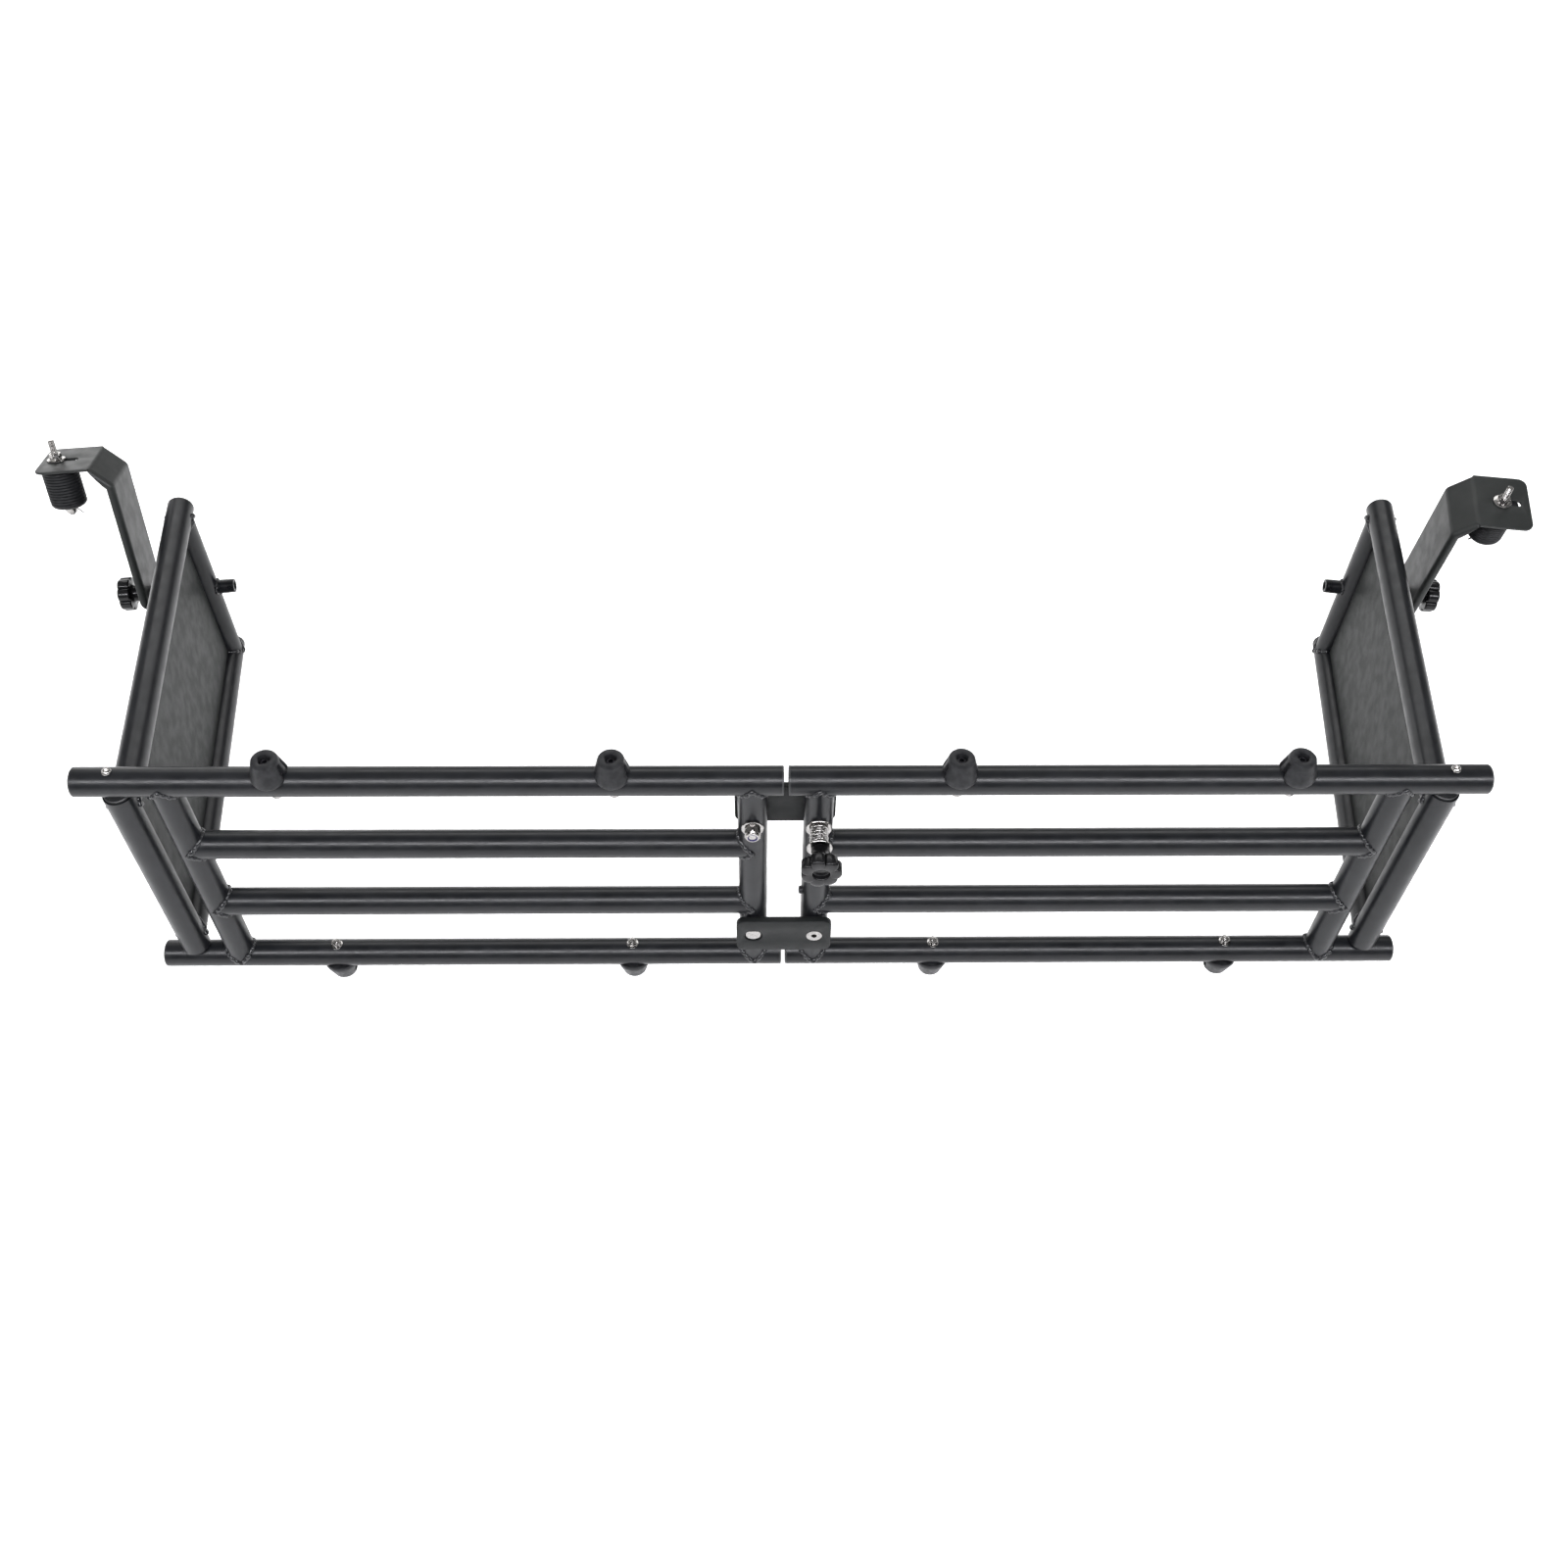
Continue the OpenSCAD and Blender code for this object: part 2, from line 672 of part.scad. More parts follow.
module right_bracket() color("#3a3c3e") on_bracket(RIGHT) bracket();
module right_clamp_knob() color("#181818") on_bracket(RIGHT) clamp_knob();
module right_clamp_screw() color("silver") on_bracket(RIGHT) clamp_screw();
module right_rail_plug() color("#181818") on_plug(RIGHT) rail_plug();
module right_plug_stud() color("silver") on_plug(RIGHT) plug_stud();
module right_plug_nut() color("silver") on_plug(RIGHT) plug_nut();
module right_wing_nut() color("silver") on_plug(RIGHT) wing_nut();

left_top_rail();
left_bottom_rail();
left_rungs();
left_gate_posts();
left_rail_caps();
left_top_bumpers();
left_feet();
left_bumper_bolts();
left_bumper_nuts();
upper_joint_plate();
joint_bolt();
joint_lock_nut();
guide_pin();
right_top_rail();
right_bottom_rail();
right_rungs();
right_gate_posts();
right_rail_caps();
right_top_bumpers();
right_feet();
right_bumper_bolts();
right_bumper_nuts();
lower_joint_plate();
plate_screw();
post_washer();
thrust_washer();
release_spring();
release_screw();
release_knob();
left_front_post();
left_rear_post();
left_panel_top_tube();
left_panel_bottom_tube();
left_infill();
left_pivot_stub();
left_panel_plugs();
left_pivot_screws();
right_front_post();
right_rear_post();
right_panel_top_tube();
right_panel_bottom_tube();
right_infill();
right_pivot_stub();
right_panel_plugs();
right_pivot_screws();
left_bracket();
left_clamp_knob();
left_clamp_screw();
left_rail_plug();
left_plug_stud();
left_plug_nut();
left_wing_nut();
right_bracket();
right_clamp_knob();
right_clamp_screw();
right_rail_plug();
right_plug_stud();
right_plug_nut();
right_wing_nut();
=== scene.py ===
import json
import math

import bpy
import bmesh
from mathutils import Matrix, Vector, noise


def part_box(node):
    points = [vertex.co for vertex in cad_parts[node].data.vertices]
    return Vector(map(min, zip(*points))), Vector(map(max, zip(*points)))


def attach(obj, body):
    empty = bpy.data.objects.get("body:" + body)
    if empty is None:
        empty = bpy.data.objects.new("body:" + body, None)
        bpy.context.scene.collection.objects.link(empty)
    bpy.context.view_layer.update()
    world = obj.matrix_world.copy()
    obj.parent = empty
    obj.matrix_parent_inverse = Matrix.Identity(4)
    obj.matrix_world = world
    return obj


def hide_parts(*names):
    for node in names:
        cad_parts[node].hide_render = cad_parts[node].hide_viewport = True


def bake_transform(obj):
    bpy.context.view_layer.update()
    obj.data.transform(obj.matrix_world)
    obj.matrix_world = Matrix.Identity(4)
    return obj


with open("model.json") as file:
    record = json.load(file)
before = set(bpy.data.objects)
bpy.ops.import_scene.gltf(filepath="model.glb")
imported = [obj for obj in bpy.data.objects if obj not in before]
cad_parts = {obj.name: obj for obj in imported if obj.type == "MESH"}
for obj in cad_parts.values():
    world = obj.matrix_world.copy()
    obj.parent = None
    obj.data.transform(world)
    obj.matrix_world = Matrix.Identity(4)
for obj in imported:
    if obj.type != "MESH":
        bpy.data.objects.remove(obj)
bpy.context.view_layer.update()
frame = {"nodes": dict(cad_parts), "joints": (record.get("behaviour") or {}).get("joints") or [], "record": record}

MM = 0.001
TAU = 2 * math.pi
LEFT, RIGHT = -1, 1
SIDE_NAME = {LEFT: "left", RIGHT: "right"}
X, Y, Z = Vector((1, 0, 0)), Vector((0, 1, 0)), Vector((0, 0, 1))
JOINTS = {j["name"]: j for j in frame["joints"]}
MOUNTS = {m["name"]: m for m in frame["record"]["mounts"]}

# Sizes in millimetres that aren't measured from the CAD's boxes
M6_R, M6_PITCH, M6_FLATS = 3, 1, 10
M8_R, M8_PITCH, M8_FLATS = 3.95, 1.25, 13
M10_PITCH, M10_FLATS = 1.5, 17
BUMPER_TIP, BUMPER_RECESS = 36, 10
KNOB_THICK = 15
STUB_R = 9
CAP_RIM = 2


# ---------------------------------------------------------------- materials

def new_material(name, colour, roughness, metallic=0.0, specular=0.5):
    """A principled material; returns the material, its node tree and its shader."""
    material = bpy.data.materials.new(name)
    material.use_nodes = True
    tree = material.node_tree
    shader = tree.nodes["Principled BSDF"]
    shader.inputs["Base Color"].default_value = (*colour, 1)
    shader.inputs["Roughness"].default_value = roughness
    shader.inputs["Metallic"].default_value = metallic
    shader.inputs["Specular IOR Level"].default_value = specular
    return material, tree, shader


def object_noise(tree, scale, detail=3.0, stretch=(1, 1, 1)):
    """Noise in object coordinates, whose features are about 1 / scale metres."""
    place = tree.nodes.new("ShaderNodeTexCoord")
    mapping = tree.nodes.new("ShaderNodeMapping")
    mapping.inputs["Scale"].default_value = stretch
    texture = tree.nodes.new("ShaderNodeTexNoise")
    texture.inputs["Scale"].default_value = scale
    texture.inputs["Detail"].default_value = detail
    tree.links.new(place.outputs["Object"], mapping.inputs["Vector"])
    tree.links.new(mapping.outputs["Vector"], texture.inputs["Vector"])
    return texture.outputs["Fac"]


def ramp(tree, factor, low, high, start=0.35, end=0.65):
    """Factor turned into values from low to high."""
    span = tree.nodes.new("ShaderNodeMapRange")
    span.inputs["From Min"].default_value = start
    span.inputs["From Max"].default_value = end
    span.inputs["To Min"].default_value = low
    span.inputs["To Max"].default_value = high
    tree.links.new(factor, span.inputs["Value"])
    return span.outputs["Result"]


def mixed(tree, factor, first, second):
    """A colour between first and second."""
    mix = tree.nodes.new("ShaderNodeMix")
    mix.data_type = "RGBA"
    mix.inputs["A"].default_value = (*first, 1)
    mix.inputs["B"].default_value = (*second, 1)
    tree.links.new(factor, mix.inputs["Factor"])
    return mix.outputs["Result"]


def bumped(tree, shader, height, strength, distance):
    """Adds a bump to the shader, on top of any bump that it already has."""
    bump = tree.nodes.new("ShaderNodeBump")
    bump.inputs["Strength"].default_value = strength
    bump.inputs["Distance"].default_value = distance
    tree.links.new(height, bump.inputs["Height"])
    if shader.inputs["Normal"].is_linked:
        earlier = shader.inputs["Normal"].links[0].from_socket
        tree.links.new(earlier, bump.inputs["Normal"])
    tree.links.new(bump.outputs["Normal"], shader.inputs["Normal"])


def powder_coat(name, dark, light, roughness, grain=900, specular=0.5):
    """Satin powder coat: fine orange peel, faint mottling, small changes of gloss."""
    material, tree, shader = new_material(name, dark, roughness, specular=specular)
    mottle = ramp(tree, object_noise(tree, 35, 4), 0, 1)
    tree.links.new(mixed(tree, mottle, dark, light), shader.inputs["Base Color"])
    patches = object_noise(tree, 60, 2)
    tree.links.new(ramp(tree, patches, roughness - 0.04, roughness + 0.05),
                   shader.inputs["Roughness"])
    bumped(tree, shader, object_noise(tree, grain, 2), 0.30, 0.00012)
    bumped(tree, shader, object_noise(tree, 180, 1), 0.05, 0.00020)
    return material


def plated(name, colour, roughness):
    """Bright zinc: faint brushed streaks and cloudy spots."""
    material, tree, shader = new_material(name, colour, roughness, metallic=1.0)
    cloud = ramp(tree, object_noise(tree, 400, 3), 0, 1)
    darker = [c * 0.72 for c in colour]
    tree.links.new(mixed(tree, cloud, colour, darker), shader.inputs["Base Color"])
    streak = object_noise(tree, 500, 2, stretch=(1, 1, 6))
    tree.links.new(ramp(tree, streak, roughness * 0.7, roughness * 1.5),
                   shader.inputs["Roughness"])
    bumped(tree, shader, object_noise(tree, 1200, 2), 0.10, 0.00008)
    return material


def rubber(name, colour, roughness, bloom):
    """Moulded rubber: a dusty bloom and a fine grain."""
    material, tree, shader = new_material(name, colour, roughness, specular=0.18)
    dust = ramp(tree, object_noise(tree, 140, 4), 0, 1)
    tree.links.new(mixed(tree, dust, colour, bloom), shader.inputs["Base Color"])
    patches = object_noise(tree, 260, 2)
    tree.links.new(ramp(tree, patches, roughness - 0.07, roughness + 0.08),
                   shader.inputs["Roughness"])
    bumped(tree, shader, object_noise(tree, 1500, 2), 0.35, 0.00010)
    return material


def plastic(name, colour, roughness, grain, specular=0.5):
    """Moulded plastic with a light spark-erosion texture."""
    material, tree, shader = new_material(name, colour, roughness, specular=specular)
    tone = ramp(tree, object_noise(tree, 90, 3), 0, 1)
    tree.links.new(mixed(tree, tone, colour, [c * 1.6 for c in colour]),
                   shader.inputs["Base Color"])
    patches = object_noise(tree, 300, 2)
    tree.links.new(ramp(tree, patches, roughness - 0.05, roughness + 0.06),
                   shader.inputs["Roughness"])
    bumped(tree, shader, object_noise(tree, 1800, 2), grain, 0.00008)
    return material


COAT = powder_coat("tube_coat", (0.0032, 0.0036, 0.0046), (0.0060, 0.0066, 0.0080),
                   0.33, specular=0.28)
# Weld beads: the tubes' coat with a lighter base colour, which is a painted highlight on the beads, and a glossier
# finish
WELD_PAINTED_HIGHLIGHT = powder_coat("weld_coat_painted_highlight", (0.0050, 0.0055, 0.0068), (0.0120, 0.0125, 0.0140),
                   0.24, grain=500, specular=0.40)
SHEET = powder_coat("sheet_coat", (0.0125, 0.0140, 0.0135), (0.0160, 0.0175, 0.0168),
                    0.42, specular=0.26)
INFILL = powder_coat("infill_coat", (0.0100, 0.0115, 0.0110), (0.0130, 0.0145, 0.0138),
                     0.50, specular=0.14)
PLATE = powder_coat("plate_coat", (0.0070, 0.0078, 0.0080), (0.0100, 0.0110, 0.0110),
                    0.44, specular=0.13)
ZINC = plated("zinc", (0.36, 0.350, 0.340), 0.12)
# Painted shade: the bumper bolt heads are near black for the shade at the bottom of the bumpers' recesses; the
# shanks of the same bolts are zinc
BOLT_HEAD_PAINTED_SHADE = plated("bolt_head_painted_shade", (0.030, 0.030, 0.034), 0.34)
# Painted shade: zinc darkened for the release screw, for the shade inside the spring round it; rougher too
SCREW_PAINTED_SHADE = plated("release_screw_painted_shade", (0.17, 0.165, 0.16), 0.28)
SPRING_WIRE = plated("spring_wire", (0.36, 0.350, 0.340), 0.12)
BUMPER = rubber("bumper_rubber", (0.0085, 0.0088, 0.0098), 0.42,
                (0.0170, 0.0175, 0.0188))
RIBBED = rubber("plug_rubber", (0.0065, 0.0068, 0.0075), 0.50,
                (0.0130, 0.0135, 0.0145))
KNOB = plastic("knob_plastic", (0.0040, 0.0040, 0.0044), 0.20, 0.05, 0.25)
CAP = plastic("cap_plastic", (0.0120, 0.0125, 0.0130), 0.42, 0.30)
NYLON = plastic("nylon", (0.016, 0.013, 0.060), 0.35, 0.10)


# ---------------------------------------------------------------- mesh helpers

def axes(origin, x, y, z):
    """Matrix from a local frame in millimetres to the row frame in metres."""
    m = Matrix((x, y, z)).transposed().to_4x4()
    m.translation = Vector(origin) / MM
    return Matrix.Scale(MM, 4) @ m


def frame_along(origin, direction, around=None):
    """A local frame whose z runs along direction, with x as near to around as it gets."""
    z = Vector(direction).normalized()
    hint = Vector(around) if around else (X if abs(z.x) < 0.9 else Z)
    x = (hint - z * hint.dot(z)).normalized()
    return axes(origin, x, z.cross(x), z)


def local_box(node, place):
    """Lowest and highest corner of a CAD node in a local frame, in millimetres."""
    inverse = place.inverted()
    corners = [inverse @ v.co for v in frame["nodes"][node].data.vertices]
    return (Vector([min(c[i] for c in corners) for i in range(3)]),
            Vector([max(c[i] for c in corners) for i in range(3)]))


def centre_of(node):
    """Middle of a CAD node's box, in metres."""
    low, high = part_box(node)
    return (low + high) / 2


def piece(name, place, verts, faces, material, body, slot, replaces=(), crease=35):
    """A mesh from local millimetres, smooth but for edges sharper than crease.

    A piece with no body rides on nothing."""
    mesh = bpy.data.meshes.new(name)
    mesh.from_pydata([place @ Vector(v) for v in verts], [], faces)
    work = bmesh.new()
    work.from_mesh(mesh)
    bmesh.ops.remove_doubles(work, verts=work.verts, dist=1e-7)
    bmesh.ops.recalc_face_normals(work, faces=work.faces)
    work.to_mesh(mesh)
    work.free()
    mesh.shade_smooth()
    mesh.set_sharp_from_angle(angle=math.radians(crease))
    obj = bpy.data.objects.new(name, mesh)
    bpy.context.scene.collection.objects.link(obj)
    mesh.materials.append(material)
    if body:
        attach(obj, body)
    if replaces:
        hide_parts(*replaces)
    return obj


def loft(rings, loop=False):
    """Quads between rings of equal length; the ends are filled unless it is a loop."""
    n, verts, faces = len(rings[0]), [v for r in rings for v in r], []
    for k in range(len(rings) - (0 if loop else 1)):
        a, b = k * n, (k + 1) % len(rings) * n
        for i in range(n):
            j = (i + 1) % n
            faces.append((a + i, a + j, b + j, b + i))
    if not loop:
        faces.append(tuple(reversed(range(n))))
        faces.append(tuple(range((len(rings) - 1) * n, len(rings) * n)))
    return verts, faces


def ring(z, radius, n):
    """A ring at height z; radius is a number or a function of the angle."""
    values = [TAU * i / n for i in range(n)]
    radii = [radius(a) if callable(radius) else radius for a in values]
    return [(r * math.cos(a), r * math.sin(a), z) for a, r in zip(values, radii)]


def turned(profile, n=48, loop=False):
    """A turned solid from (radius, z) points. A loop closes on itself, round a bore."""
    return loft([ring(z, r, n) for r, z in profile], loop)


def arc(cx, cz, r, start, end, steps=5):
    """Points of an arc in a profile, in degrees."""
    angles = [math.radians(start + (end - start) * i / steps) for i in range(steps + 1)]
    return [(cx + r * math.cos(a), cz + r * math.sin(a)) for a in angles]


def joined(*parts):
    """Several (verts, faces) as one."""
    verts, faces = [], []
    for v, f in parts:
        shift = len(verts)
        verts += list(v)
        faces += [tuple(i + shift for i in face) for face in f]
    return verts, faces


def moved(part, matrix):
    """A (verts, faces) part under a matrix."""
    verts, faces = part
    return [tuple(matrix @ Vector(v)) for v in verts], faces


def raised(part, height):
    """A part moved up its local z."""
    return moved(part, Matrix.Translation((0, 0, height)))


def hexagon(across_flats):
    """A function that gives the radius of a hexagon at an angle."""
    sixth = math.pi / 3
    return lambda a: across_flats / 2 / math.cos((a + sixth / 2) % sixth - sixth / 2)


def nut(across_flats, height, hole_r, n=72):
    """A hex nut from z = 0 up, chamfered at both ends, with a bore."""
    flat = across_flats / 2
    hexa = hexagon(across_flats)
    rim = lambda a: min(hexa(a), flat * 1.03)
    cut = flat * 0.09
    return loft([
        ring(0, hole_r, n), ring(0, flat * 0.92, n), ring(0.01, rim, n), ring(cut, hexa, n),
        ring(height - cut, hexa, n), ring(height - 0.01, rim, n),
        ring(height, flat * 0.90, n), ring(height, hole_r + 0.6, n),
        ring(height - 0.6, hole_r, n),
    ], loop=True)


def threaded(r, pitch, start, end, n=24):
    """A threaded rod with a chamfered tip at end."""
    steps = 6
    depth = pitch * 0.52
    tip = 1.2
    up = 1 if end > start else -1
    count = int(abs(end - start) / pitch * steps)
    rings = []
    for k in range(count + 1):
        z = start + (end - start) * k / count
        left = abs(end - z)
        cap = r if left > tip else r - (tip - left) * 0.9

        def radius(a, z=z, cap=cap):
            phase = (z / pitch - a / TAU) % 1
            return min(r - depth * abs(2 * phase - 1) ** 1.3, cap)
        rings.append(ring(z, radius, n))
    rings.append(ring(end + up * 0.02, r * 0.55, n))
    return loft(rings)


def swept(points, radii, n=10, ups=None):
    """A closed loop of tube through points, whose outward direction is ups."""
    rings = []
    count = len(points)
    for k, p in enumerate(points):
        along = (points[(k + 1) % count] - points[k - 1]).normalized()
        side = (ups[k] - along * ups[k].dot(along)).normalized()
        other = along.cross(side)
        angles = [TAU * i / n for i in range(n)]
        rings.append([tuple(p + (side * math.cos(t) + other * math.sin(t)) * radii[k])
                      for t in angles])
    return loft(rings, loop=True)


def plate(outline, holes, thickness, edge):
    """A flat plate from z = 0 to thickness with rounded edges, and holes as outlines."""
    curve = bpy.data.curves.new("outline", "CURVE")
    curve.dimensions = "2D"
    curve.fill_mode = "BOTH"
    for points in [outline, *holes]:
        spline = curve.splines.new("POLY")
        spline.points.add(len(points) - 1)
        for target, (x, y) in zip(spline.points, points):
            target.co = (x, y, 0, 1)
        spline.use_cyclic_u = True
    curve.extrude = thickness / 2 - edge
    curve.bevel_depth = edge
    curve.bevel_resolution = 2
    curve.offset = -edge
    obj = bpy.data.objects.new("outline", curve)
    mesh = bpy.data.meshes.new_from_object(obj)
    verts = [(v.co.x, v.co.y, v.co.z + thickness / 2) for v in mesh.vertices]
    faces = [tuple(p.vertices) for p in mesh.polygons]
    bpy.data.objects.remove(obj)
    bpy.data.curves.remove(curve)
    bpy.data.meshes.remove(mesh)
    return verts, faces


def rounded(w, h, r, cx=0, cy=0, steps=8):
    """Outline of a rectangle with rounded corners."""
    points = []
    for sx, sy, start in ((1, 1, 0), (-1, 1, 90), (-1, -1, 180), (1, -1, 270)):
        points += arc(cx + sx * (w / 2 - r), cy + sy * (h / 2 - r), r,
                      start, start + 90, steps)
    return points


def circle(r, cx=0, cy=0, n=48):
    """Outline of a circle."""
    angles = [TAU * i / n for i in range(n)]
    return [(cx + r * math.cos(a), cy + r * math.sin(a)) for a in angles]


def coat_nodes(names, material):
    """CAD nodes keep their shape and take a material."""
    for name in names:
        mesh = frame["nodes"][name].data
        mesh.materials.clear()
        mesh.materials.append(material)


# ---------------------------------------------------------------- sizes from the frame
# TUBE_R is in millimetres, the rest in metres.

low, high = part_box("left_top_rail")
TUBE_R = (high.z - low.z) / 2 / MM
GATE_Y = (low.y + high.y) / 2
TOP_Z = (low.z + high.z) / 2
BOTTOM_Z = centre_of("left_bottom_rail").z
low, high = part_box("right_gate_posts")
INNER_X, OUTER_X = low.x + TUBE_R * MM, high.x - TUBE_R * MM
low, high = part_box("right_rungs")
RUNG_Z = [low.z + TUBE_R * MM, high.z - TUBE_R * MM]
UPPER_Z = centre_of("upper_joint_plate").z
LOWER_Z = centre_of("lower_joint_plate").z


def facing_front(node):
    """A frame on the node's axis, from its back face to the front (-Y), and its length."""
    lo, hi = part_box(node)
    place = frame_along(((lo.x + hi.x) / 2, hi.y, (lo.z + hi.z) / 2), -Y, X)
    return place, (hi.y - lo.y) / MM


# ---------------------------------------------------------------- welds

def weld(name, at, main_axis, branch, branch_r, body, reach=2.7, steps=120):
    """A rippled bead round the joint of a branch tube on a main tube of TUBE_R."""
    main, out = Vector(main_axis).normalized(), Vector(branch).normalized()
    across = out.cross(main)
    centre = Vector(at) / MM
    points, radii, ups = [], [], []
    for k in range(steps):
        t = TAU * k / steps
        depth = math.sqrt(max(TUBE_R ** 2 - (branch_r * math.sin(t)) ** 2, 0))
        radial = main * math.cos(t) + across * math.sin(t)
        point = centre + radial * branch_r + out * depth
        normal_main = (out * depth + across * branch_r * math.sin(t)).normalized()
        up = (normal_main + radial).normalized()
        ripple = 0.5 + 0.5 * math.cos(t * steps / 6 * 0.98)
        lump = noise.noise(point * 0.21)
        points.append(point + up * (0.30 * ripple + 0.6 * lump - 0.4))
        radii.append(reach + 0.45 * ripple + 0.9 * lump)
        ups.append(up)
    verts, faces = swept(points, radii, 10, ups)
    # The bead's coat is lighter than the tubes': painted highlight
    piece(name, Matrix.Scale(MM, 4), verts, faces, WELD_PAINTED_HIGHLIGHT, body, "coated_tube", crease=60)


# ---------------------------------------------------------------- caps and bumpers

def cap_part(rim):
    """End cap from the tube's mouth at z = 0: inner plug, rim and a softly domed face."""
    r = TUBE_R
    return turned([(0.01, -4), (r - 1.8, -4), (r - 1.7, 0), (r - 0.3, 0.02), (r, 0.35)]
                  + arc(r - 0.9, rim - 0.9, 0.9, 0, 80, 4)
                  + [(r * 0.72, rim + 0.12), (r * 0.68, rim - 0.25), (r * 0.3, rim - 0.1),
                     (0.01, rim - 0.05)], 64)


def bumper_part(tip=BUMPER_TIP, base_r=20.0, tip_r=13.4, hole_r=6.2, skirt=7.5, n=144):
    """Rubber bumper on a rail along x: ribbed sides, a skirt that hugs the tube."""
    bore_r, cone_from, groove_depth = 3.3, 13, 3.6
    seat = tip - BUMPER_RECESS

    def saddle(a, r):
        y = r * math.sin(a)
        return max(math.sqrt(max(TUBE_R ** 2 - y * y, 0)), skirt + 3 * math.cos(a) ** 2)

    def side_r(a, z):
        taper = base_r + (tip_r - base_r) * max(0, (z - cone_from) / (tip - cone_from))
        across = abs(math.sin(a))
        groove = max(0, 1 - (across / 0.46) ** 6) * (1 if across > 0.15 else 0.05)
        fade = min(1, max(0, (tip - 5.5 - z) / 1.5))
        return taper - groove_depth * groove * fade

    angles = [TAU * i / n for i in range(n)]
    rings = []
    for r in (bore_r, 8, 12, 13.6, 14.2, 16):
        rings.append([(r * math.cos(a), r * math.sin(a), saddle(a, r) + 0.05)
                      for a in angles])
    for t in (0, 0.03, 0.08, 0.16, 0.28, 0.42, 0.56, 0.68, 0.76, 0.81, 0.86, 0.91, 0.95):
        row = []
        for a in angles:
            start = saddle(a, base_r)
            z = start + (tip - start) * t
            soft = -0.9 * (1 - t / 0.08) ** 2 if t < 0.08 else 0
            r = side_r(a, z) + soft
            row.append((r * math.cos(a), r * math.sin(a), z))
        rings.append(row)
    for off, z in ((0.0, tip - 1.0), (0.35, tip - 0.3), (1.1, tip)):
        rings.append(ring(z, tip_r - off, n))
    ragged = lambda a: hole_r + 0.35 * math.sin(3 * a + 1) + 0.25 * math.sin(5 * a)
    rings.append(ring(tip - 0.15, lambda a: ragged(a) + 1.6, n))
    rings.append(ring(tip - 0.6, lambda a: ragged(a) + 0.3, n))
    rings.append(ring(tip - 2, ragged, n))
    rings.append(ring(seat, hole_r, n))
    rings.append(ring(seat, bore_r, n))
    return loft(rings, loop=True)


def socket_head(r, height, hex_af, depth, n=60):
    """A socket head from z = 0 with a knurled side and a hexagonal socket."""
    knurl = lambda a: r - 0.16 * (1 + math.cos(a * 30)) / 2
    socket = hexagon(hex_af)
    return loft([ring(0, r * 0.5, n), ring(0, r - 0.3, n), ring(0.3, knurl, n),
                 ring(height - 0.7, knurl, n), ring(height - 0.2, r - 0.4, n),
                 ring(height, r - 0.9, n), ring(height, lambda a: socket(a) + 0.25, n),
                 ring(height - 0.3, socket, n), ring(height - depth, socket, n)])


def bumper_set(side):
    """The four bumpers of a half gate, each with its bolt and flange nut."""
    name, body = SIDE_NAME[side], f"{SIDE_NAME[side]}_gate"
    seat = BUMPER_TIP - BUMPER_RECESS
    xs = sorted({round(centre_x, 6) for centre_x in bumper_xs(side)})
    nodes = {1: f"{name}_top_bumpers", -1: f"{name}_feet"}
    for up, z in ((1, TOP_Z), (-1, BOTTOM_Z)):
        label = "top" if up > 0 else "foot"
        for k, x in enumerate(xs):
            place = frame_along((x, GATE_Y, z), Z * up, X)
            piece(f"{name}_{label}_bumper_{k}", place, *bumper_part(), BUMPER, body,
                  "bumper_rubber", [nodes[up]], crease=40)
            # Bolt head painted near black for the shade in the bumper's recess
            head = raised(socket_head(r=5, height=6, hex_af=5, depth=3), seat)
            piece(f"{name}_{label}_bolt_head_{k}", place, *head, BOLT_HEAD_PAINTED_SHADE, body, "zinc",
                  [f"{name}_bumper_bolts"])
            shank = threaded(M6_R, M6_PITCH, seat, -TUBE_R - 10, 24)
            piece(f"{name}_{label}_bolt_{k}", place, *shank, ZINC, body, "zinc",
                  [f"{name}_bumper_bolts"])
            under = frame_along(place @ Vector((0, 0, -TUBE_R - 0.1)), -Z * up, X)
            flange = turned([(3.1, 0), (6.7, 0), (7, 0.3), (6.9, 0.9), (4.9, 1.5),
                             (3.1, 1.5)], 48, True)
            hexed = raised(nut(M6_FLATS, height=4.8, hole_r=3.05), 1.2)
            piece(f"{name}_{label}_nut_{k}", under, *joined(flange, hexed), ZINC, body,
                  "zinc", [f"{name}_bumper_nuts"])


def bumper_xs(side):
    """Middles of the two groups of vertices of the bumpers."""
    points = [v.co.x for v in frame["nodes"][f"{SIDE_NAME[side]}_feet"].data.vertices]
    middle = (min(points) + max(points)) / 2
    for group in ([p for p in points if p < middle], [p for p in points if p > middle]):
        yield (min(group) + max(group)) / 2


# ---------------------------------------------------------------- knobs

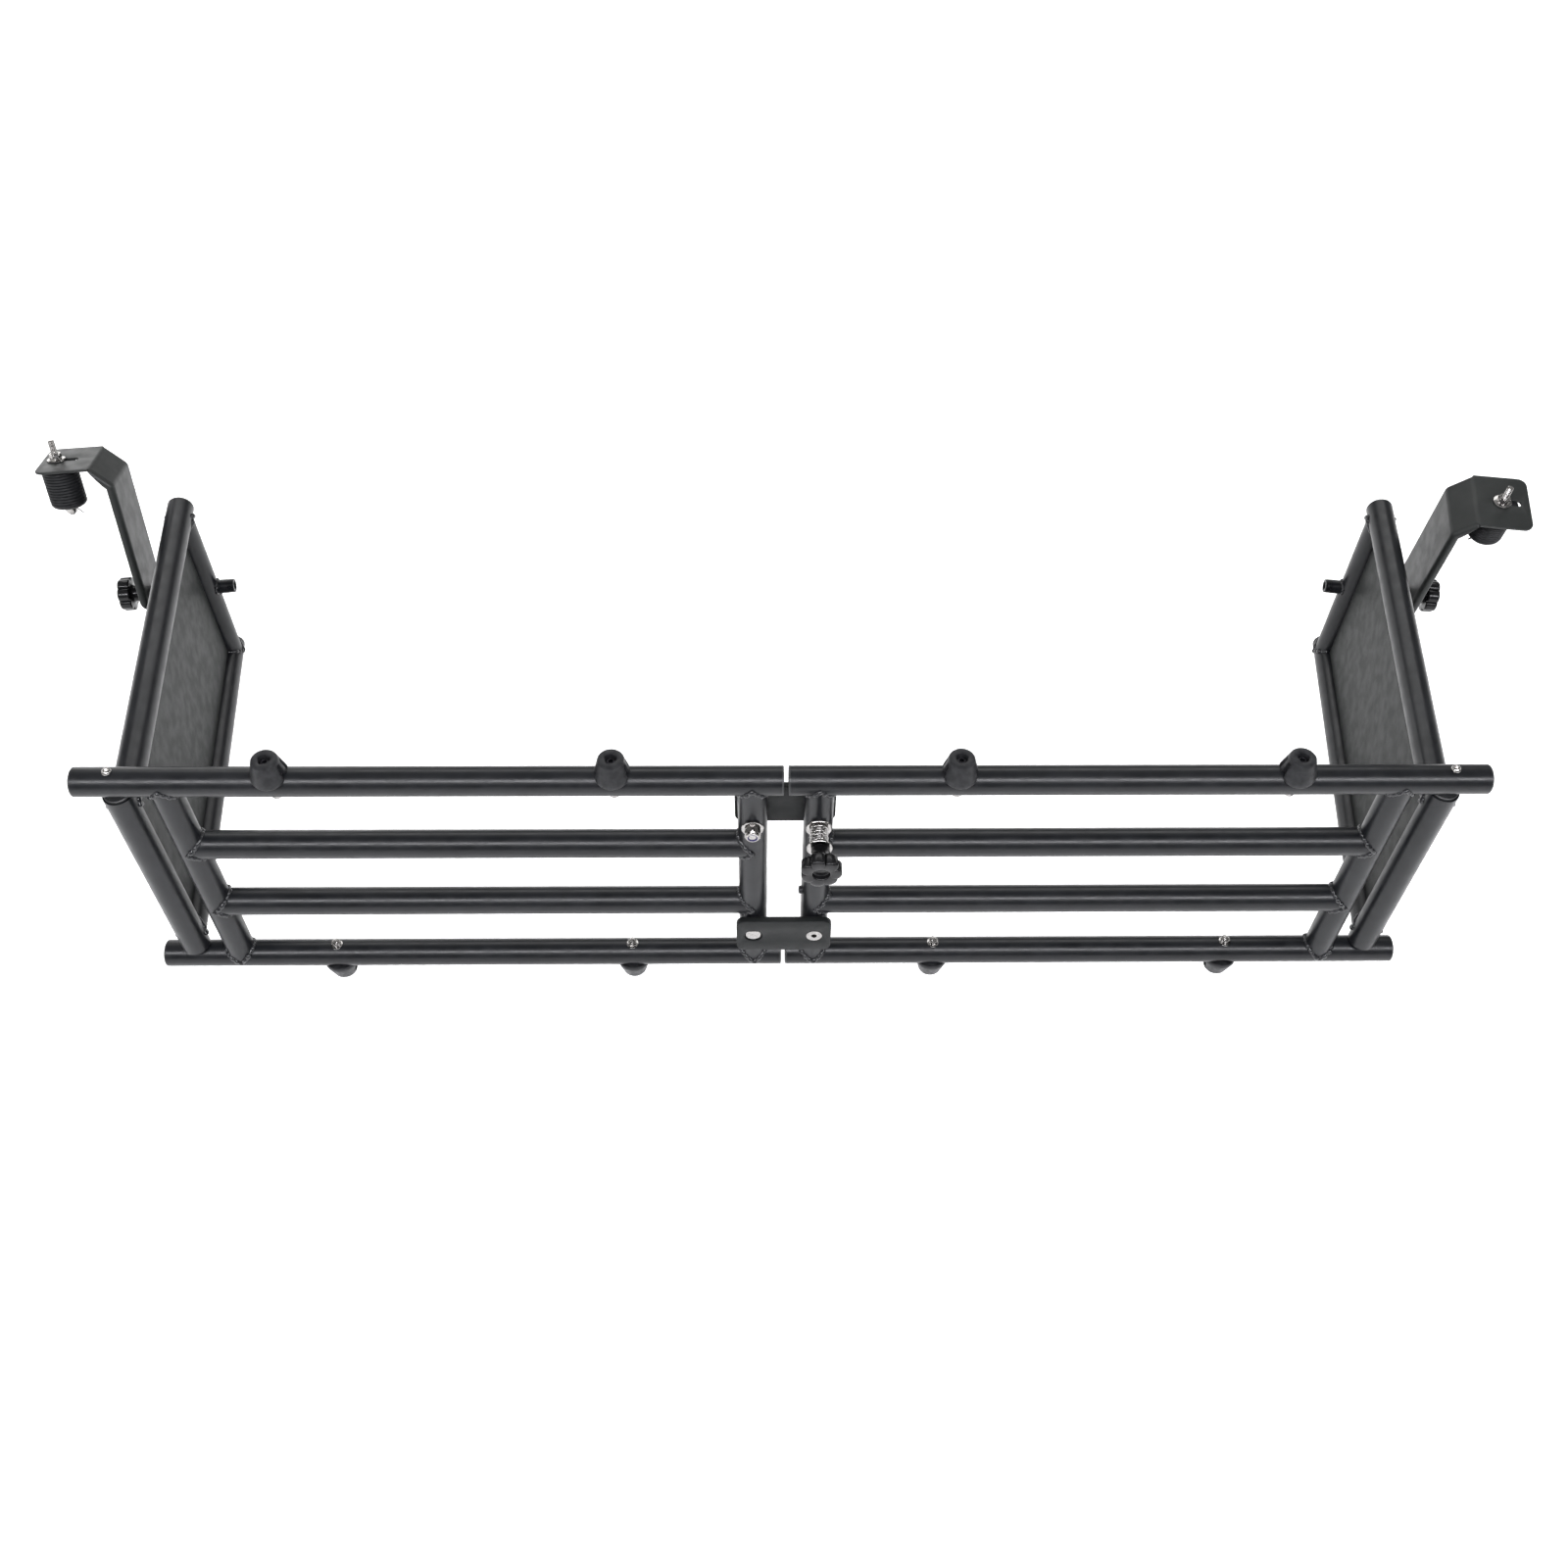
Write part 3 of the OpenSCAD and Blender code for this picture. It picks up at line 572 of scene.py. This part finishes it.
def star_part(hub_len, r, hub_r=10, thick=KNOB_THICK, lobes=7, screw_r=4.9):
    """Star knob from the back of its hub at z = 0, with broad lobes and narrow valleys."""
    n = lobes * 20

    def star(off):
        return lambda a: max(r - 4.6 * (1 - abs(math.cos(a * lobes / 2)) ** 0.42) - off, 5)

    top = hub_len + thick
    rings = [ring(0, hub_r - 1.5, n), ring(0, hub_r - 0.5, n), ring(0.5, hub_r, n),
             ring(hub_len - 3, hub_r + 0.6, n), ring(hub_len - 0.8, hub_r + 2, n),
             ring(hub_len - 0.1, hub_r + 4, n), ring(hub_len, star(2.6), n)]
    back_round, front_round = 1.8, 3
    for angle in (15, 35, 60, 90):
        t = math.radians(angle)
        rings.append(ring(hub_len + back_round * (1 - math.cos(t)),
                          star(back_round * (1 - math.sin(t))), n))
    for angle in (0, 20, 40, 60, 80):
        t = math.radians(angle)
        rings.append(ring(top - front_round * (1 - math.sin(t)),
                          star(front_round * (1 - math.cos(t))), n))
    oval = lambda grow: (lambda a: 8.7 + grow + 0.5 * math.cos(2 * a))
    rings += [ring(top + 0.1, star(5.2), n), ring(top + 0.15, oval(1.4), n),
              ring(top - 0.2, oval(0.4), n), ring(top - 1.2, oval(0), n),
              ring(top - 4.6, oval(-0.6), n), ring(top - 5, oval(-1.4), n),
              ring(top - 5, screw_r + 0.1, n)]
    return loft(rings)


def joint_hardware():
    """The two joint plates and all that fastens or releases them."""
    holes_of = {"upper_joint_plate": (5.3, 5.1), "lower_joint_plate": (10.3, 9.36)}
    for node, body in (("upper_joint_plate", "left_gate"),
                       ("lower_joint_plate", "right_gate")):
        lo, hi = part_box(node)
        w, h, t = (hi.x - lo.x) / MM, (hi.z - lo.z) / MM, (hi.y - lo.y) / MM
        at = frame_along((0, hi.y, (lo.z + hi.z) / 2), -Y, X)
        x = INNER_X / MM
        left_r, right_r = holes_of[node]
        flat = plate(rounded(w, h, 10), [circle(left_r, -x), circle(right_r, x)], t, 0.9)
        piece(node + "_body", at, *flat, PLATE, body, "coated_tube", [node])
    # Lock nut, washer and bolt of the left half
    at, _ = facing_front("joint_lock_nut")
    thick = 2
    washer = turned([(5.1, 0), (11.7, 0), (12, 0.4), (11.8, 1.5), (11, thick),
                     (5.1, thick)], 64, True)
    hexed = raised(nut(M10_FLATS, height=9, hole_r=5.05), thick)
    piece("joint_nut", at, *joined(washer, hexed), ZINC, "left_gate", "zinc",
          ["joint_lock_nut"])
    collar = turned([(5.2, 10.5), (7.4, 10.5)] + arc(6.2, 12.6, 1.3, 0, 90, 5)
                    + [(5.2, 13.9)], 56, True)
    piece("joint_nut_collar", at, *collar, ZINC, "left_gate", "zinc")
    insert = turned([(4.9, 11), (5.6, 11), (5.9, 13.3), (5.4, 14.05), (4.9, 14)], 48,
                    True)
    piece("joint_nut_insert", at, *insert, NYLON, "left_gate", "knob_plastic")
    at, long = facing_front("joint_bolt")
    head = nut(M10_FLATS, height=6.4, hole_r=1.0)
    shank = threaded(5, M10_PITCH, 5, long, 32)
    piece("joint_bolt_body", at, *joined(head, shank), ZINC, "left_gate", "zinc",
          ["joint_bolt"])
    # Guide pin, countersunk screw
    at, long = facing_front("guide_pin")
    pin = turned([(0.01, 0), (4.9, 0), (5, 12), (5, long - 8.6), (9.9, long - 8.6),
                  (10, long - 8), (10, long - 2.9), (9.6, long - 2.2),
                  (7.6, long - 1.2), (4, long - 0.4), (0.01, long)], 64)
    piece("guide_pin_body", at, *pin, ZINC, "left_gate", "zinc", ["guide_pin"])
    at, long = facing_front("plate_screw")
    socket, n = hexagon(across_flats=5.8), 60
    screw = loft([ring(0, 4.5, n), ring(0.5, 5, n), ring(long - 4.6, 5, n),
                  ring(long - 0.5, 9.1, n), ring(long - 0.1, 9.2, n), ring(long, 8.8, n),
                  ring(long, lambda a: socket(a) + 0.4, n), ring(long - 0.4, socket, n),
                  ring(long - 3.9, socket, n)])
    piece("plate_screw_body", at, *screw, ZINC, "right_gate", "zinc", ["plate_screw"])
    # Washers, spring, screw and knob of the release
    for node, body in (("post_washer", "right_gate"), ("thrust_washer", "thrust_washer")):
        at, t = facing_front(node)
        ring_part = turned([(5.4, 0), (13.6, 0), (14, 0.35), (13.9, t - 0.6), (13.4, t),
                            (5.8, t), (5.4, t - 0.4)], 72, True)
        piece(node + "_body", at, *ring_part, ZINC, body, "zinc", [node])
    spring()
    at, long = facing_front("release_screw")
    # The release screw's zinc is darkened: painted shade inside the spring
    piece("release_screw_body", at, *threaded(4.9, M10_PITCH, 0, long, 32), SCREW_PAINTED_SHADE,
          "release_knob", "zinc", ["release_screw"])
    at, long = facing_front("release_knob")
    lo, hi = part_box("release_knob")
    knob_r = (hi.x - lo.x) / 2 / MM
    piece("release_knob_body", at, *star_part(long - KNOB_THICK, knob_r), KNOB,
          "release_knob", "knob_plastic", ["release_knob"], crease=50)


def spring(turns=4, wire=1.15, coil_r=9.2, n=12, per_turn=48):
    """Compression spring with closer turns at its ends."""
    at, long = facing_front("release_spring")
    rings = []
    for k in range(turns * per_turn + 1):
        t = k / (turns * per_turn)
        z = wire + (long - 2 * wire) * (t - 0.055 * math.sin(2 * TAU * t) / 2)
        a = TAU * turns * t
        radial = Vector((math.cos(a), math.sin(a), 0))
        section = [TAU * i / n for i in range(n)]
        rings.append([tuple(radial * (coil_r + wire * math.cos(b))
                            + Z * (z + wire * math.sin(b))) for b in section])
    verts, faces = loft(rings)
    obj = piece("release_spring_wire", at, verts, faces, SPRING_WIRE, None, "zinc",
                ["release_spring"], crease=60)
    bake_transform(obj)


# ---------------------------------------------------------------- side panels

def panel_axes(side):
    """Direction out of the panel and direction along it to the rear."""
    out = Vector(JOINTS[f"{SIDE_NAME[side]}_bracket_pivot"]["axis"]).normalized()
    back = Vector((-out.y, out.x, 0)) * side
    return out, back


def side_panel(side):
    """Welds, caps, pivot stub, pivot plugs and pivot screws of a side panel."""
    name = SIDE_NAME[side]
    body = f"{name}_panel"
    out, back = panel_axes(side)
    pivot = Vector(JOINTS[f"{name}_panel_hinge"]["pos_m"])
    stub = Vector(JOINTS[f"{name}_bracket_pivot"]["pos_m"])
    rear = pivot + back * (stub - pivot).dot(back)
    lo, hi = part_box(f"{name}_panel_bottom_tube")
    bottom = (lo.z + hi.z) / 2
    lo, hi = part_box(f"{name}_panel_top_tube")
    top = (lo.z + hi.z) / 2
    for z, label in ((bottom, "low"), (top, "high")):
        at = Vector((pivot.x, pivot.y, z))
        weld(f"{name}_front_weld_{label}", at, Z, back, TUBE_R, body)
        at = Vector((rear.x, rear.y, z))
        weld(f"{name}_rear_weld_{label}", at, back, Z if label == "low" else -Z, TUBE_R, body)
        end = panel_end(name, label, pivot, back)
        piece(f"{name}_tube_cap_{label}", frame_along(Vector((end.x, end.y, z)), back, Z),
              *cap_part(CAP_RIM), CAP, body, "cap_plastic", [f"{name}_panel_plugs"])
    # Welds where the pivot stub passes through the rear post
    for direction, label in ((out, "out"), (-out, "in")):
        weld(f"{name}_stub_weld_{label}", Vector((rear.x, rear.y, stub.z)), Z, direction,
             STUB_R, body, reach=1.8, steps=84)
    # Pivot stub: a drilled bar with a chamfered outer end and a threaded inner end
    place = frame_along(stub, out, Z)
    lo, hi = local_box(f"{name}_pivot_stub", place)
    bore_r, root_r = 5.1, 8.2
    thread = []
    for k in range(4):
        z = lo.z + 7.6 - 1.8 * k
        thread += [(STUB_R, z), (root_r, z - 0.4), (root_r, z - 1.0), (STUB_R, z - 1.4)]
    bar = turned([(bore_r, hi.z - 1), (6, hi.z), (root_r, hi.z), (STUB_R, hi.z - 0.8),
                  (STUB_R, 6), (STUB_R, lo.z + 8)] + thread
                 + [(8.4, lo.z), (6, lo.z), (bore_r, lo.z + 1)], 56, True)
    piece(f"{name}_stub_bar", place, *bar, COAT, body, "coated_tube",
          [f"{name}_pivot_stub"])
    # Plugs and screws on the hinge axis
    lo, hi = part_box(f"{name}_front_post")
    for z, up, label in ((hi.z, 1, "high"), (lo.z, -1, "low")):
        place = frame_along((pivot.x, pivot.y, z), Z * up, X)
        insert = turned([(3.05, -6), (12.2, -6), (12.3, 0), (13.6, 0.02), (14, 0.4),
                         (14, 2.3), (13.4, 2.95), (11, 3), (10.6, 2.6), (6, 2.6),
                         (5.6, 3), (3.05, 3)], 64, True)
        piece(f"{name}_pivot_plug_{label}", place, *insert, CAP, body, "cap_plastic",
              [f"{name}_panel_plugs"])
    head_base = (TOP_Z - pivot.z) / MM + TUBE_R + 0.2
    socket = hexagon(across_flats=4)
    for up, label in ((1, "high"), (-1, "low")):
        at = frame_along(pivot, Z * up, X)
        head = loft([ring(head_base, 3, 48), ring(head_base, 4.9, 48),
                     ring(head_base + 0.4, 5.25, 48), ring(head_base + 1.3, 5.1, 48),
                     ring(head_base + 2.6, 4.2, 48), ring(head_base + 3.3, 3.2, 48),
                     ring(head_base + 3.3, lambda a: socket(a) + 0.25, 48),
                     ring(head_base + 3, socket, 48), ring(head_base + 1.3, socket, 48)])
        shank = threaded(M6_R, M6_PITCH, head_base + 0.5, head_base - 2 * TUBE_R - 20, 20)
        piece(f"{name}_pivot_screw_{label}", at, *joined(head, shank), ZINC, body, "zinc",
              [f"{name}_pivot_screws"])


def panel_end(name, label, pivot, back):
    """Mouth of a long tube, from the furthest point of its mesh along the panel."""
    node = f"{name}_panel_{'bottom' if label == 'low' else 'top'}_tube"
    reach = max((v.co - pivot).dot(back) for v in frame["nodes"][node].data.vertices)
    return pivot + back * reach


def gate(side):
    """Welds, rail caps and bumpers of a half gate."""
    name, body = SIDE_NAME[side], f"{SIDE_NAME[side]}_gate"
    for x, which in ((INNER_X, "inner"), (OUTER_X, "outer")):
        inward = 1 if which == "inner" else -1
        for z, up, label in ((TOP_Z, -1, "high"), (BOTTOM_Z, 1, "low")):
            weld(f"{name}_{which}_post_weld_{label}", (side * x, GATE_Y, z), X, Z * up,
                 TUBE_R, body)
        for k, z in enumerate(RUNG_Z):
            weld(f"{name}_{which}_rung_weld_{k}", (side * x, GATE_Y, z), Z,
                 X * side * inward, TUBE_R, body)
    lo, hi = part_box(f"{name}_top_rail")
    for z, label in ((TOP_Z, "high"), (BOTTOM_Z, "low")):
        for x, out in ((lo.x, -X), (hi.x, X)):
            end = "inner" if abs(x) < OUTER_X else "outer"
            piece(f"{name}_rail_cap_{end}_{label}", frame_along((x, GATE_Y, z), out, Z),
                  *cap_part(CAP_RIM), CAP, body, "cap_plastic", [f"{name}_rail_caps"])
    bumper_set(side)


# ---------------------------------------------------------------- brackets

BEND_R = 9.0
SLOT_FROM_END = 27.0


def bend_path(points, radius=BEND_R, steps=7):
    """A polyline with rounded corners, as points with the distance along it."""
    smooth = [Vector((*points[0], 0))]
    for before, corner, after in zip(points, points[1:], points[2:]):
        a, b, c = (Vector((*p, 0)) for p in (before, corner, after))
        first, second = (b - a).normalized(), (c - b).normalized()
        turn = first.angle(second)
        cut = radius * math.tan(turn / 2)
        start, spin = b - first * cut, (1 if first.cross(second).z > 0 else -1)
        centre = start + Vector((-first.y, first.x, 0)) * radius * spin
        for k in range(steps + 1):
            smooth.append(centre + Matrix.Rotation(spin * turn * k / steps, 3, "Z")
                          @ (start - centre))
    smooth.append(Vector((*points[-1], 0)))
    lengths = [0.0]
    for a, b in zip(smooth, smooth[1:]):
        lengths.append(lengths[-1] + (b - a).length)
    return smooth, lengths


def on_path(path, lengths, s, depth):
    """Point at distance s along the path, and depth to its right."""
    k = max(i for i in range(len(path) - 1) if lengths[i] <= s + 1e-6 or i == 0)
    ahead = (path[k + 1] - path[k]).normalized()
    point = path[k] + ahead * (s - lengths[k])

    def turn_at(i):
        before = (path[i] - path[max(i - 1, 0)]) if i else ahead
        after = (path[min(i + 1, len(path) - 1)] - path[i]) if i < len(path) - 1 else ahead
        both = before.normalized() + after.normalized()
        return Vector((both.y, -both.x, 0)).normalized()
    mix = min(max((s - lengths[k]) / max(lengths[k + 1] - lengths[k], 1e-6), 0), 1)
    normal = (turn_at(k) * (1 - mix) + turn_at(k + 1) * mix).normalized()
    return point + normal * depth


def bracket(side):
    """The bent bracket with its edge returns, its clamp screw and knob, and its plug."""
    name = SIDE_NAME[side]
    body = f"{name}_bracket"
    out, _ = panel_axes(side)
    pivot = Vector(JOINTS[f"{name}_bracket_pivot"]["pos_m"])
    up = -Vector(MOUNTS[f"{name}_plug"]["axis"]).normalized()
    # x along the pivot axis, y to the rear, z up the arm
    place = axes(pivot, out, up.cross(out).normalized(), up)
    lo, hi = local_box(f"{name}_bracket", place)
    e0, reach, foot, top, half = lo.x, hi.x, lo.z, hi.z, (hi.y - lo.y) / 2
    facet, sheet, fold, roll = 23.5, 3.0, 9.5, 6.0
    foot_round, corner_r, hole_r = 30, 11, 5.2
    slot_r, slot_half = 4.5, 12
    corner = top - facet
    points = [(e0, foot), (e0, corner), (e0 + facet, top), (reach, top)]
    path, lengths = bend_path(points)
    total, start = lengths[-1], 30.0
    facet_end = next(l for p, l in zip(path, lengths) if p.y > top - 0.01)
    # The strip is narrower where the edge returns take its place
    notch = half - 5.5
    outline = arc(start, half - foot_round, foot_round, 180, 90, 12)
    outline += [(start + 1.5, half), (start + 2, notch), (facet_end - 6, notch),
                (facet_end - 2, half)]
    outline += arc(total - corner_r, half - corner_r, corner_r, 90, 0, 8)
    outline += [(s, -u) for s, u in reversed(outline)]
    slot_mid = total - SLOT_FROM_END
    slot = (arc(slot_mid + slot_half, 0, slot_r, -90, 90, 10)
            + arc(slot_mid - slot_half, 0, slot_r, 90, 270, 10))
    flat, faces = plate(outline, [circle(hole_r, -foot, 0), slot], sheet, 0.8)
    mesh = bmesh.new()
    verts = [mesh.verts.new(v) for v in flat]
    for f in faces:
        mesh.faces.new([verts[i] for i in f])
    bmesh.ops.remove_doubles(mesh, verts=mesh.verts, dist=0.001)
    cuts = {round(l, 3) for l in lengths[1:-1]} | {start + 12 * k for k in range(1, 11)}
    for s in sorted(cuts):
        bmesh.ops.bisect_plane(mesh, geom=mesh.verts[:] + mesh.edges[:] + mesh.faces[:],
                               plane_co=(s, 0, 0), plane_no=(1, 0, 0), dist=1e-4)
    mesh.verts.index_update()
    bent = []
    for v in mesh.verts:
        p = on_path(path, lengths, v.co.x, sheet - v.co.z)
        bent.append((p.x, v.co.y, p.y))
    strip = (bent, [tuple(v.index for v in f.verts) for f in mesh.faces])
    mesh.free()
    # Edge returns: rolled over from the arm, low at the foot and at the flange
    parts = [strip]
    section = arc(half - roll, roll, roll, -90, 0, 6)
    section += [(half, fold - 1.2), (half - 0.6, fold - 0.3), (half - 1.5, fold),
                (half - 2.4, fold - 0.3), (half - sheet, fold - 1.2)]
    section += arc(half - roll, roll, roll - sheet, 0, -90, 6)
    limit, rise, taper = facet_end - 3, 9, 27
    marks = [start - 3, start - 1, start + 2, start + 5]
    marks += [start + 5 + 10 * k for k in range(1, 40)] + lengths[1:-1]
    for sign in (-1, 1):
        rings = []
        for s in sorted({round(m, 2) for m in marks if m < limit} | {limit}):
            grow = min(1, 0.35 + 0.65 * math.sqrt(max(0, (s - start + 3) / rise)))
            shrink = min(1, 0.30 + 0.70 * (max(0, limit - s) / taper) ** 0.8)
            row = []
            for u, n in section:
                n2 = min(n, fold * min(grow, shrink))
                p = on_path(path, lengths, s, n2)
                row.append((p.x, sign * u, p.y))
            rings.append(row)
        parts.append(loft(rings))
    piece(f"{name}_bracket_sheet", place, *joined(*parts), SHEET, body, "coated_sheet",
          [f"{name}_bracket"], crease=38)
    # Clamp screw and knob
    lo, hi = local_box(f"{name}_clamp_screw", place)
    along = frame_along(pivot, out, Z)
    piece(f"{name}_clamp_stud", along, *threaded(4.95, M10_PITCH, hi.x, lo.x, 32), ZINC,
          f"{name}_clamp_screw", "zinc", [f"{name}_clamp_screw"])
    lo, hi = local_box(f"{name}_clamp_knob", place)
    knob_at = frame_along(pivot + out * lo.x * MM, out, Z)
    hub, knob_r = hi.x - lo.x - KNOB_THICK, (hi.z - lo.z) / 2
    piece(f"{name}_clamp_star", knob_at, *star_part(hub, knob_r), KNOB,
          f"{name}_clamp_knob", "knob_plastic", [f"{name}_clamp_knob"], crease=50)
    plug(side, place, out, up)


def wing_part(steps=18, n=20):
    """One wing of a wing nut, leaning outward, from its root to its rounded tip."""
    tilt = Matrix.Rotation(math.radians(-44), 3, "Y")
    angles = [TAU * i / n for i in range(n)]
    rings = []
    for k in range(steps + 1):
        t = k / steps
        middle = Vector((5 + 8.2 * t ** 0.9, 0, 3.2 + 7.8 * t ** 1.1))
        swell = 1.7 * math.sin(math.pi * min(t * 1.05, 1))
        wide = 3.2 + swell - 3.2 * max(0, t - 0.8) ** 1.3
        thick = 1.6 - 0.3 * t - (0.9 * ((t - 0.85) / 0.15) ** 2 if t > 0.85 else 0)
        if t > 0.88:
            wide *= math.sqrt(max(0.08, 1 - ((t - 0.88) / 0.125) ** 2))
        rings.append([tuple(middle + tilt @ Vector((math.cos(a) * wide * 0.9,
                                                    math.sin(a) * thick, 0)))
                      for a in angles])
    return loft(rings)


def plug(side, place, out, up):
    """Ribbed plug, its stud, flange nut and wing nut, on the stud's axis."""
    name = SIDE_NAME[side]
    lo, hi = local_box(f"{name}_rail_plug", place)
    axis_e, axis_u = (lo.x + hi.x) / 2, (lo.y + hi.y) / 2
    long, r = hi.z - lo.z, (hi.x - lo.x) / 2
    down = frame_along(place @ Vector((axis_e, axis_u, hi.z)), -up, out)
    bore_r, nose, groove, ribs = 4.4, 6, 1.7, 13
    pitch = (long - 8) / ribs
    profile = [(bore_r, 0), (r - 2, 0), (r - 0.7, 0.3), (r, 1.0)]
    for k in range(ribs):
        z = 1.4 + k * pitch
        profile += [(r, z + pitch * 0.10), (r, z + pitch * 0.58),
                    (r - 0.5, z + pitch * 0.62), (r - groove, z + pitch * 0.72),
                    (r - groove, z + pitch * 0.88), (r - 0.5, z + pitch * 0.98)]
    profile += arc(r - nose, long - nose, nose, 8, 90, 7)
    profile += [(12, long), (11, long - 0.8), (bore_r, long - 0.8)]
    piece(f"{name}_plug_rubber", down, *turned(profile, 96, True), RIBBED, f"{name}_plug",
          "plug_rubber", [f"{name}_rail_plug"], crease=50)
    lo, hi = local_box(f"{name}_plug_stud", place)
    stud = frame_along(place @ Vector((axis_e, axis_u, 0)), up, out)
    middle = (lo.z + hi.z) / 2
    rod = joined(threaded(M8_R, M8_PITCH, middle, hi.z, 32),
                 threaded(M8_R, M8_PITCH, middle, lo.z, 32))
    piece(f"{name}_stud_rod", stud, *rod, ZINC, f"{name}_plug", "zinc",
          [f"{name}_plug_stud"])
    lo, hi = local_box(f"{name}_plug_nut", place)
    seat = frame_along(place @ Vector((axis_e, axis_u, lo.z)), up, out)
    flange = turned([(4.2, 0), (10.6, 0), (11, 0.4), (10.8, 1.4), (8.2, 2.3), (4.2, 2.3)],
                    64, True)
    hexed = raised(nut(M8_FLATS, height=6.6, hole_r=4.1), 1.9)
    piece(f"{name}_flange_nut", seat, *joined(flange, hexed), ZINC, f"{name}_plug", "zinc",
          [f"{name}_plug_nut"])
    lo, hi = local_box(f"{name}_wing_nut", place)
    below = frame_along(place @ Vector((axis_e, axis_u, hi.z)), -up, out)
    hub = turned([(4.1, 0), (9, 0), (9.5, 0.5), (9.3, 1.3), (7.9, 1.9), (7.4, 3),
                  (6.6, 8.4), (5.9, 9), (4.1, 9)], 56, True)
    wings = [moved(wing_part(), Matrix.Rotation(turn, 4, "Z")) for turn in (0, math.pi)]
    piece(f"{name}_wing_nut_body", below, *joined(hub, *wings), ZINC, f"{name}_wing_nut",
          "zinc", [f"{name}_wing_nut"], crease=50)


# ---------------------------------------------------------------- build

for side in (LEFT, RIGHT):
    who = SIDE_NAME[side]
    coat_nodes([f"{who}_{n}" for n in ("top_rail", "bottom_rail", "rungs", "gate_posts",
                                      "front_post", "rear_post", "panel_top_tube",
                                      "panel_bottom_tube")], COAT)
    coat_nodes([f"{who}_infill"], INFILL)
    gate(side)
    side_panel(side)
    bracket(side)
joint_hardware()

# Locating nub on the inner side of the right inner post
nub_z = (UPPER_Z + 2 * LOWER_Z) / 3
nub_at = frame_along((INNER_X - (TUBE_R - 0.3) * MM, GATE_Y - 0.004, nub_z), -X, Z)
nub = turned([(0.01, -1), (4.6, -1), (4.6, 1.6)] + arc(3.0, 1.8, 1.6, 0, 80, 4)
             + [(0.01, 3.7)], 40)
piece("stop_nub", nub_at, *nub, COAT, "right_gate", "coated_tube")


# ---------------------------------------------------------------- camera and light

def camera():
    """The photograph's viewpoint: above the front, looking down, rolled by a degree."""
    focal, size, sensor = 1516.38, 1600, 36
    eye = (-0.02885, -1.23387, 1.552905)
    tilt, turn, roll = (math.radians(a) for a in (50.315, 1.529, -1.054))
    ahead = Vector((math.sin(turn) * math.cos(tilt), math.cos(turn) * math.cos(tilt),
                    -math.sin(tilt)))
    right = Vector((math.cos(turn), -math.sin(turn), 0))
    down = ahead.cross(right)
    right, down = (right * math.cos(roll) + down * math.sin(roll),
                   down * math.cos(roll) - right * math.sin(roll))
    data = bpy.data.cameras.new("camera")
    data.sensor_width = sensor
    data.lens = focal / size * sensor
    data.clip_end = 50
    obj = bpy.data.objects.new("camera", data)
    bpy.context.scene.collection.objects.link(obj)
    pose = Matrix((right, -down, -ahead)).transposed().to_4x4()
    pose.translation = eye
    obj.matrix_world = pose
    bpy.context.scene.camera = obj


def area(name, at, aim, width, height, power, colour=(1, 1, 1)):
    """A rectangular light that the camera doesn't see, in metres and watts."""
    data = bpy.data.lights.new(name, "AREA")
    data.shape = "RECTANGLE"
    data.size, data.size_y = width, height
    data.energy = power
    data.color = colour
    obj = bpy.data.objects.new(name, data)
    obj.visible_camera = False
    bpy.context.scene.collection.objects.link(obj)
    direction = (Vector(aim) - Vector(at)).normalized()
    obj.matrix_world = frame_matrix(at, -direction)


def frame_matrix(at, z):
    """A frame in metres at a point, with its x level."""
    z = Vector(z).normalized()
    x = (X - z * z.x).normalized()
    m = Matrix((x, z.cross(x), z)).transposed().to_4x4()
    m.translation = Vector(at)
    return m


def floor():
    """A plain white floor that glows a little, so that shadows on it stay weak."""
    material, _, shader = new_material("floor", (0.90, 0.90, 0.90), 0.7, specular=0.2)
    shader.inputs["Emission Color"].default_value = (1, 1, 1, 1)
    shader.inputs["Emission Strength"].default_value = 0.55
    reach = 40
    mesh = bpy.data.meshes.new("floor")
    mesh.from_pydata([(-reach, -reach, 0), (reach, -reach, 0), (reach, reach, 0),
                      (-reach, reach, 0)], [], [(0, 1, 2, 3)])
    mesh.materials.append(material)
    obj = bpy.data.objects.new("floor", mesh)
    bpy.context.scene.collection.objects.link(obj)


camera()
floor()
# A long strip behind the camera draws the thin highlight along every tube across it
area("strip", (0, -1.75, 2.15), (0, -0.2, 0.2), 5.0, 0.30, 150, colour=(0.96, 0.96, 1))
area("top", (0, 0.9, 3.0), (0, 0, 0), 4.5, 2.2, 9)
area("back", (0, 3.0, 3.1), (0, 0, 0.3), 5.0, 1.6, 75)
area("left", (-3.2, 0.0, 1.8), (0, 0, 0.2), 2.5, 2.0, 30)
area("low_left", (-2.3, 3.0, 0.75), (-0.9, 0.2, 0.35), 1.6, 1.1, 14)
area("right", (3.2, 0.2, 1.4), (0, 0, 0.2), 1.5, 1.5, 18)

world = bpy.data.worlds.new("studio")
world.use_nodes = True
background = world.node_tree.nodes["Background"]
background.inputs["Color"].default_value = (1, 1, 1, 1)
background.inputs["Strength"].default_value = 0.24
bpy.context.scene.world = world
bpy.context.scene.view_settings.view_transform = "Standard"
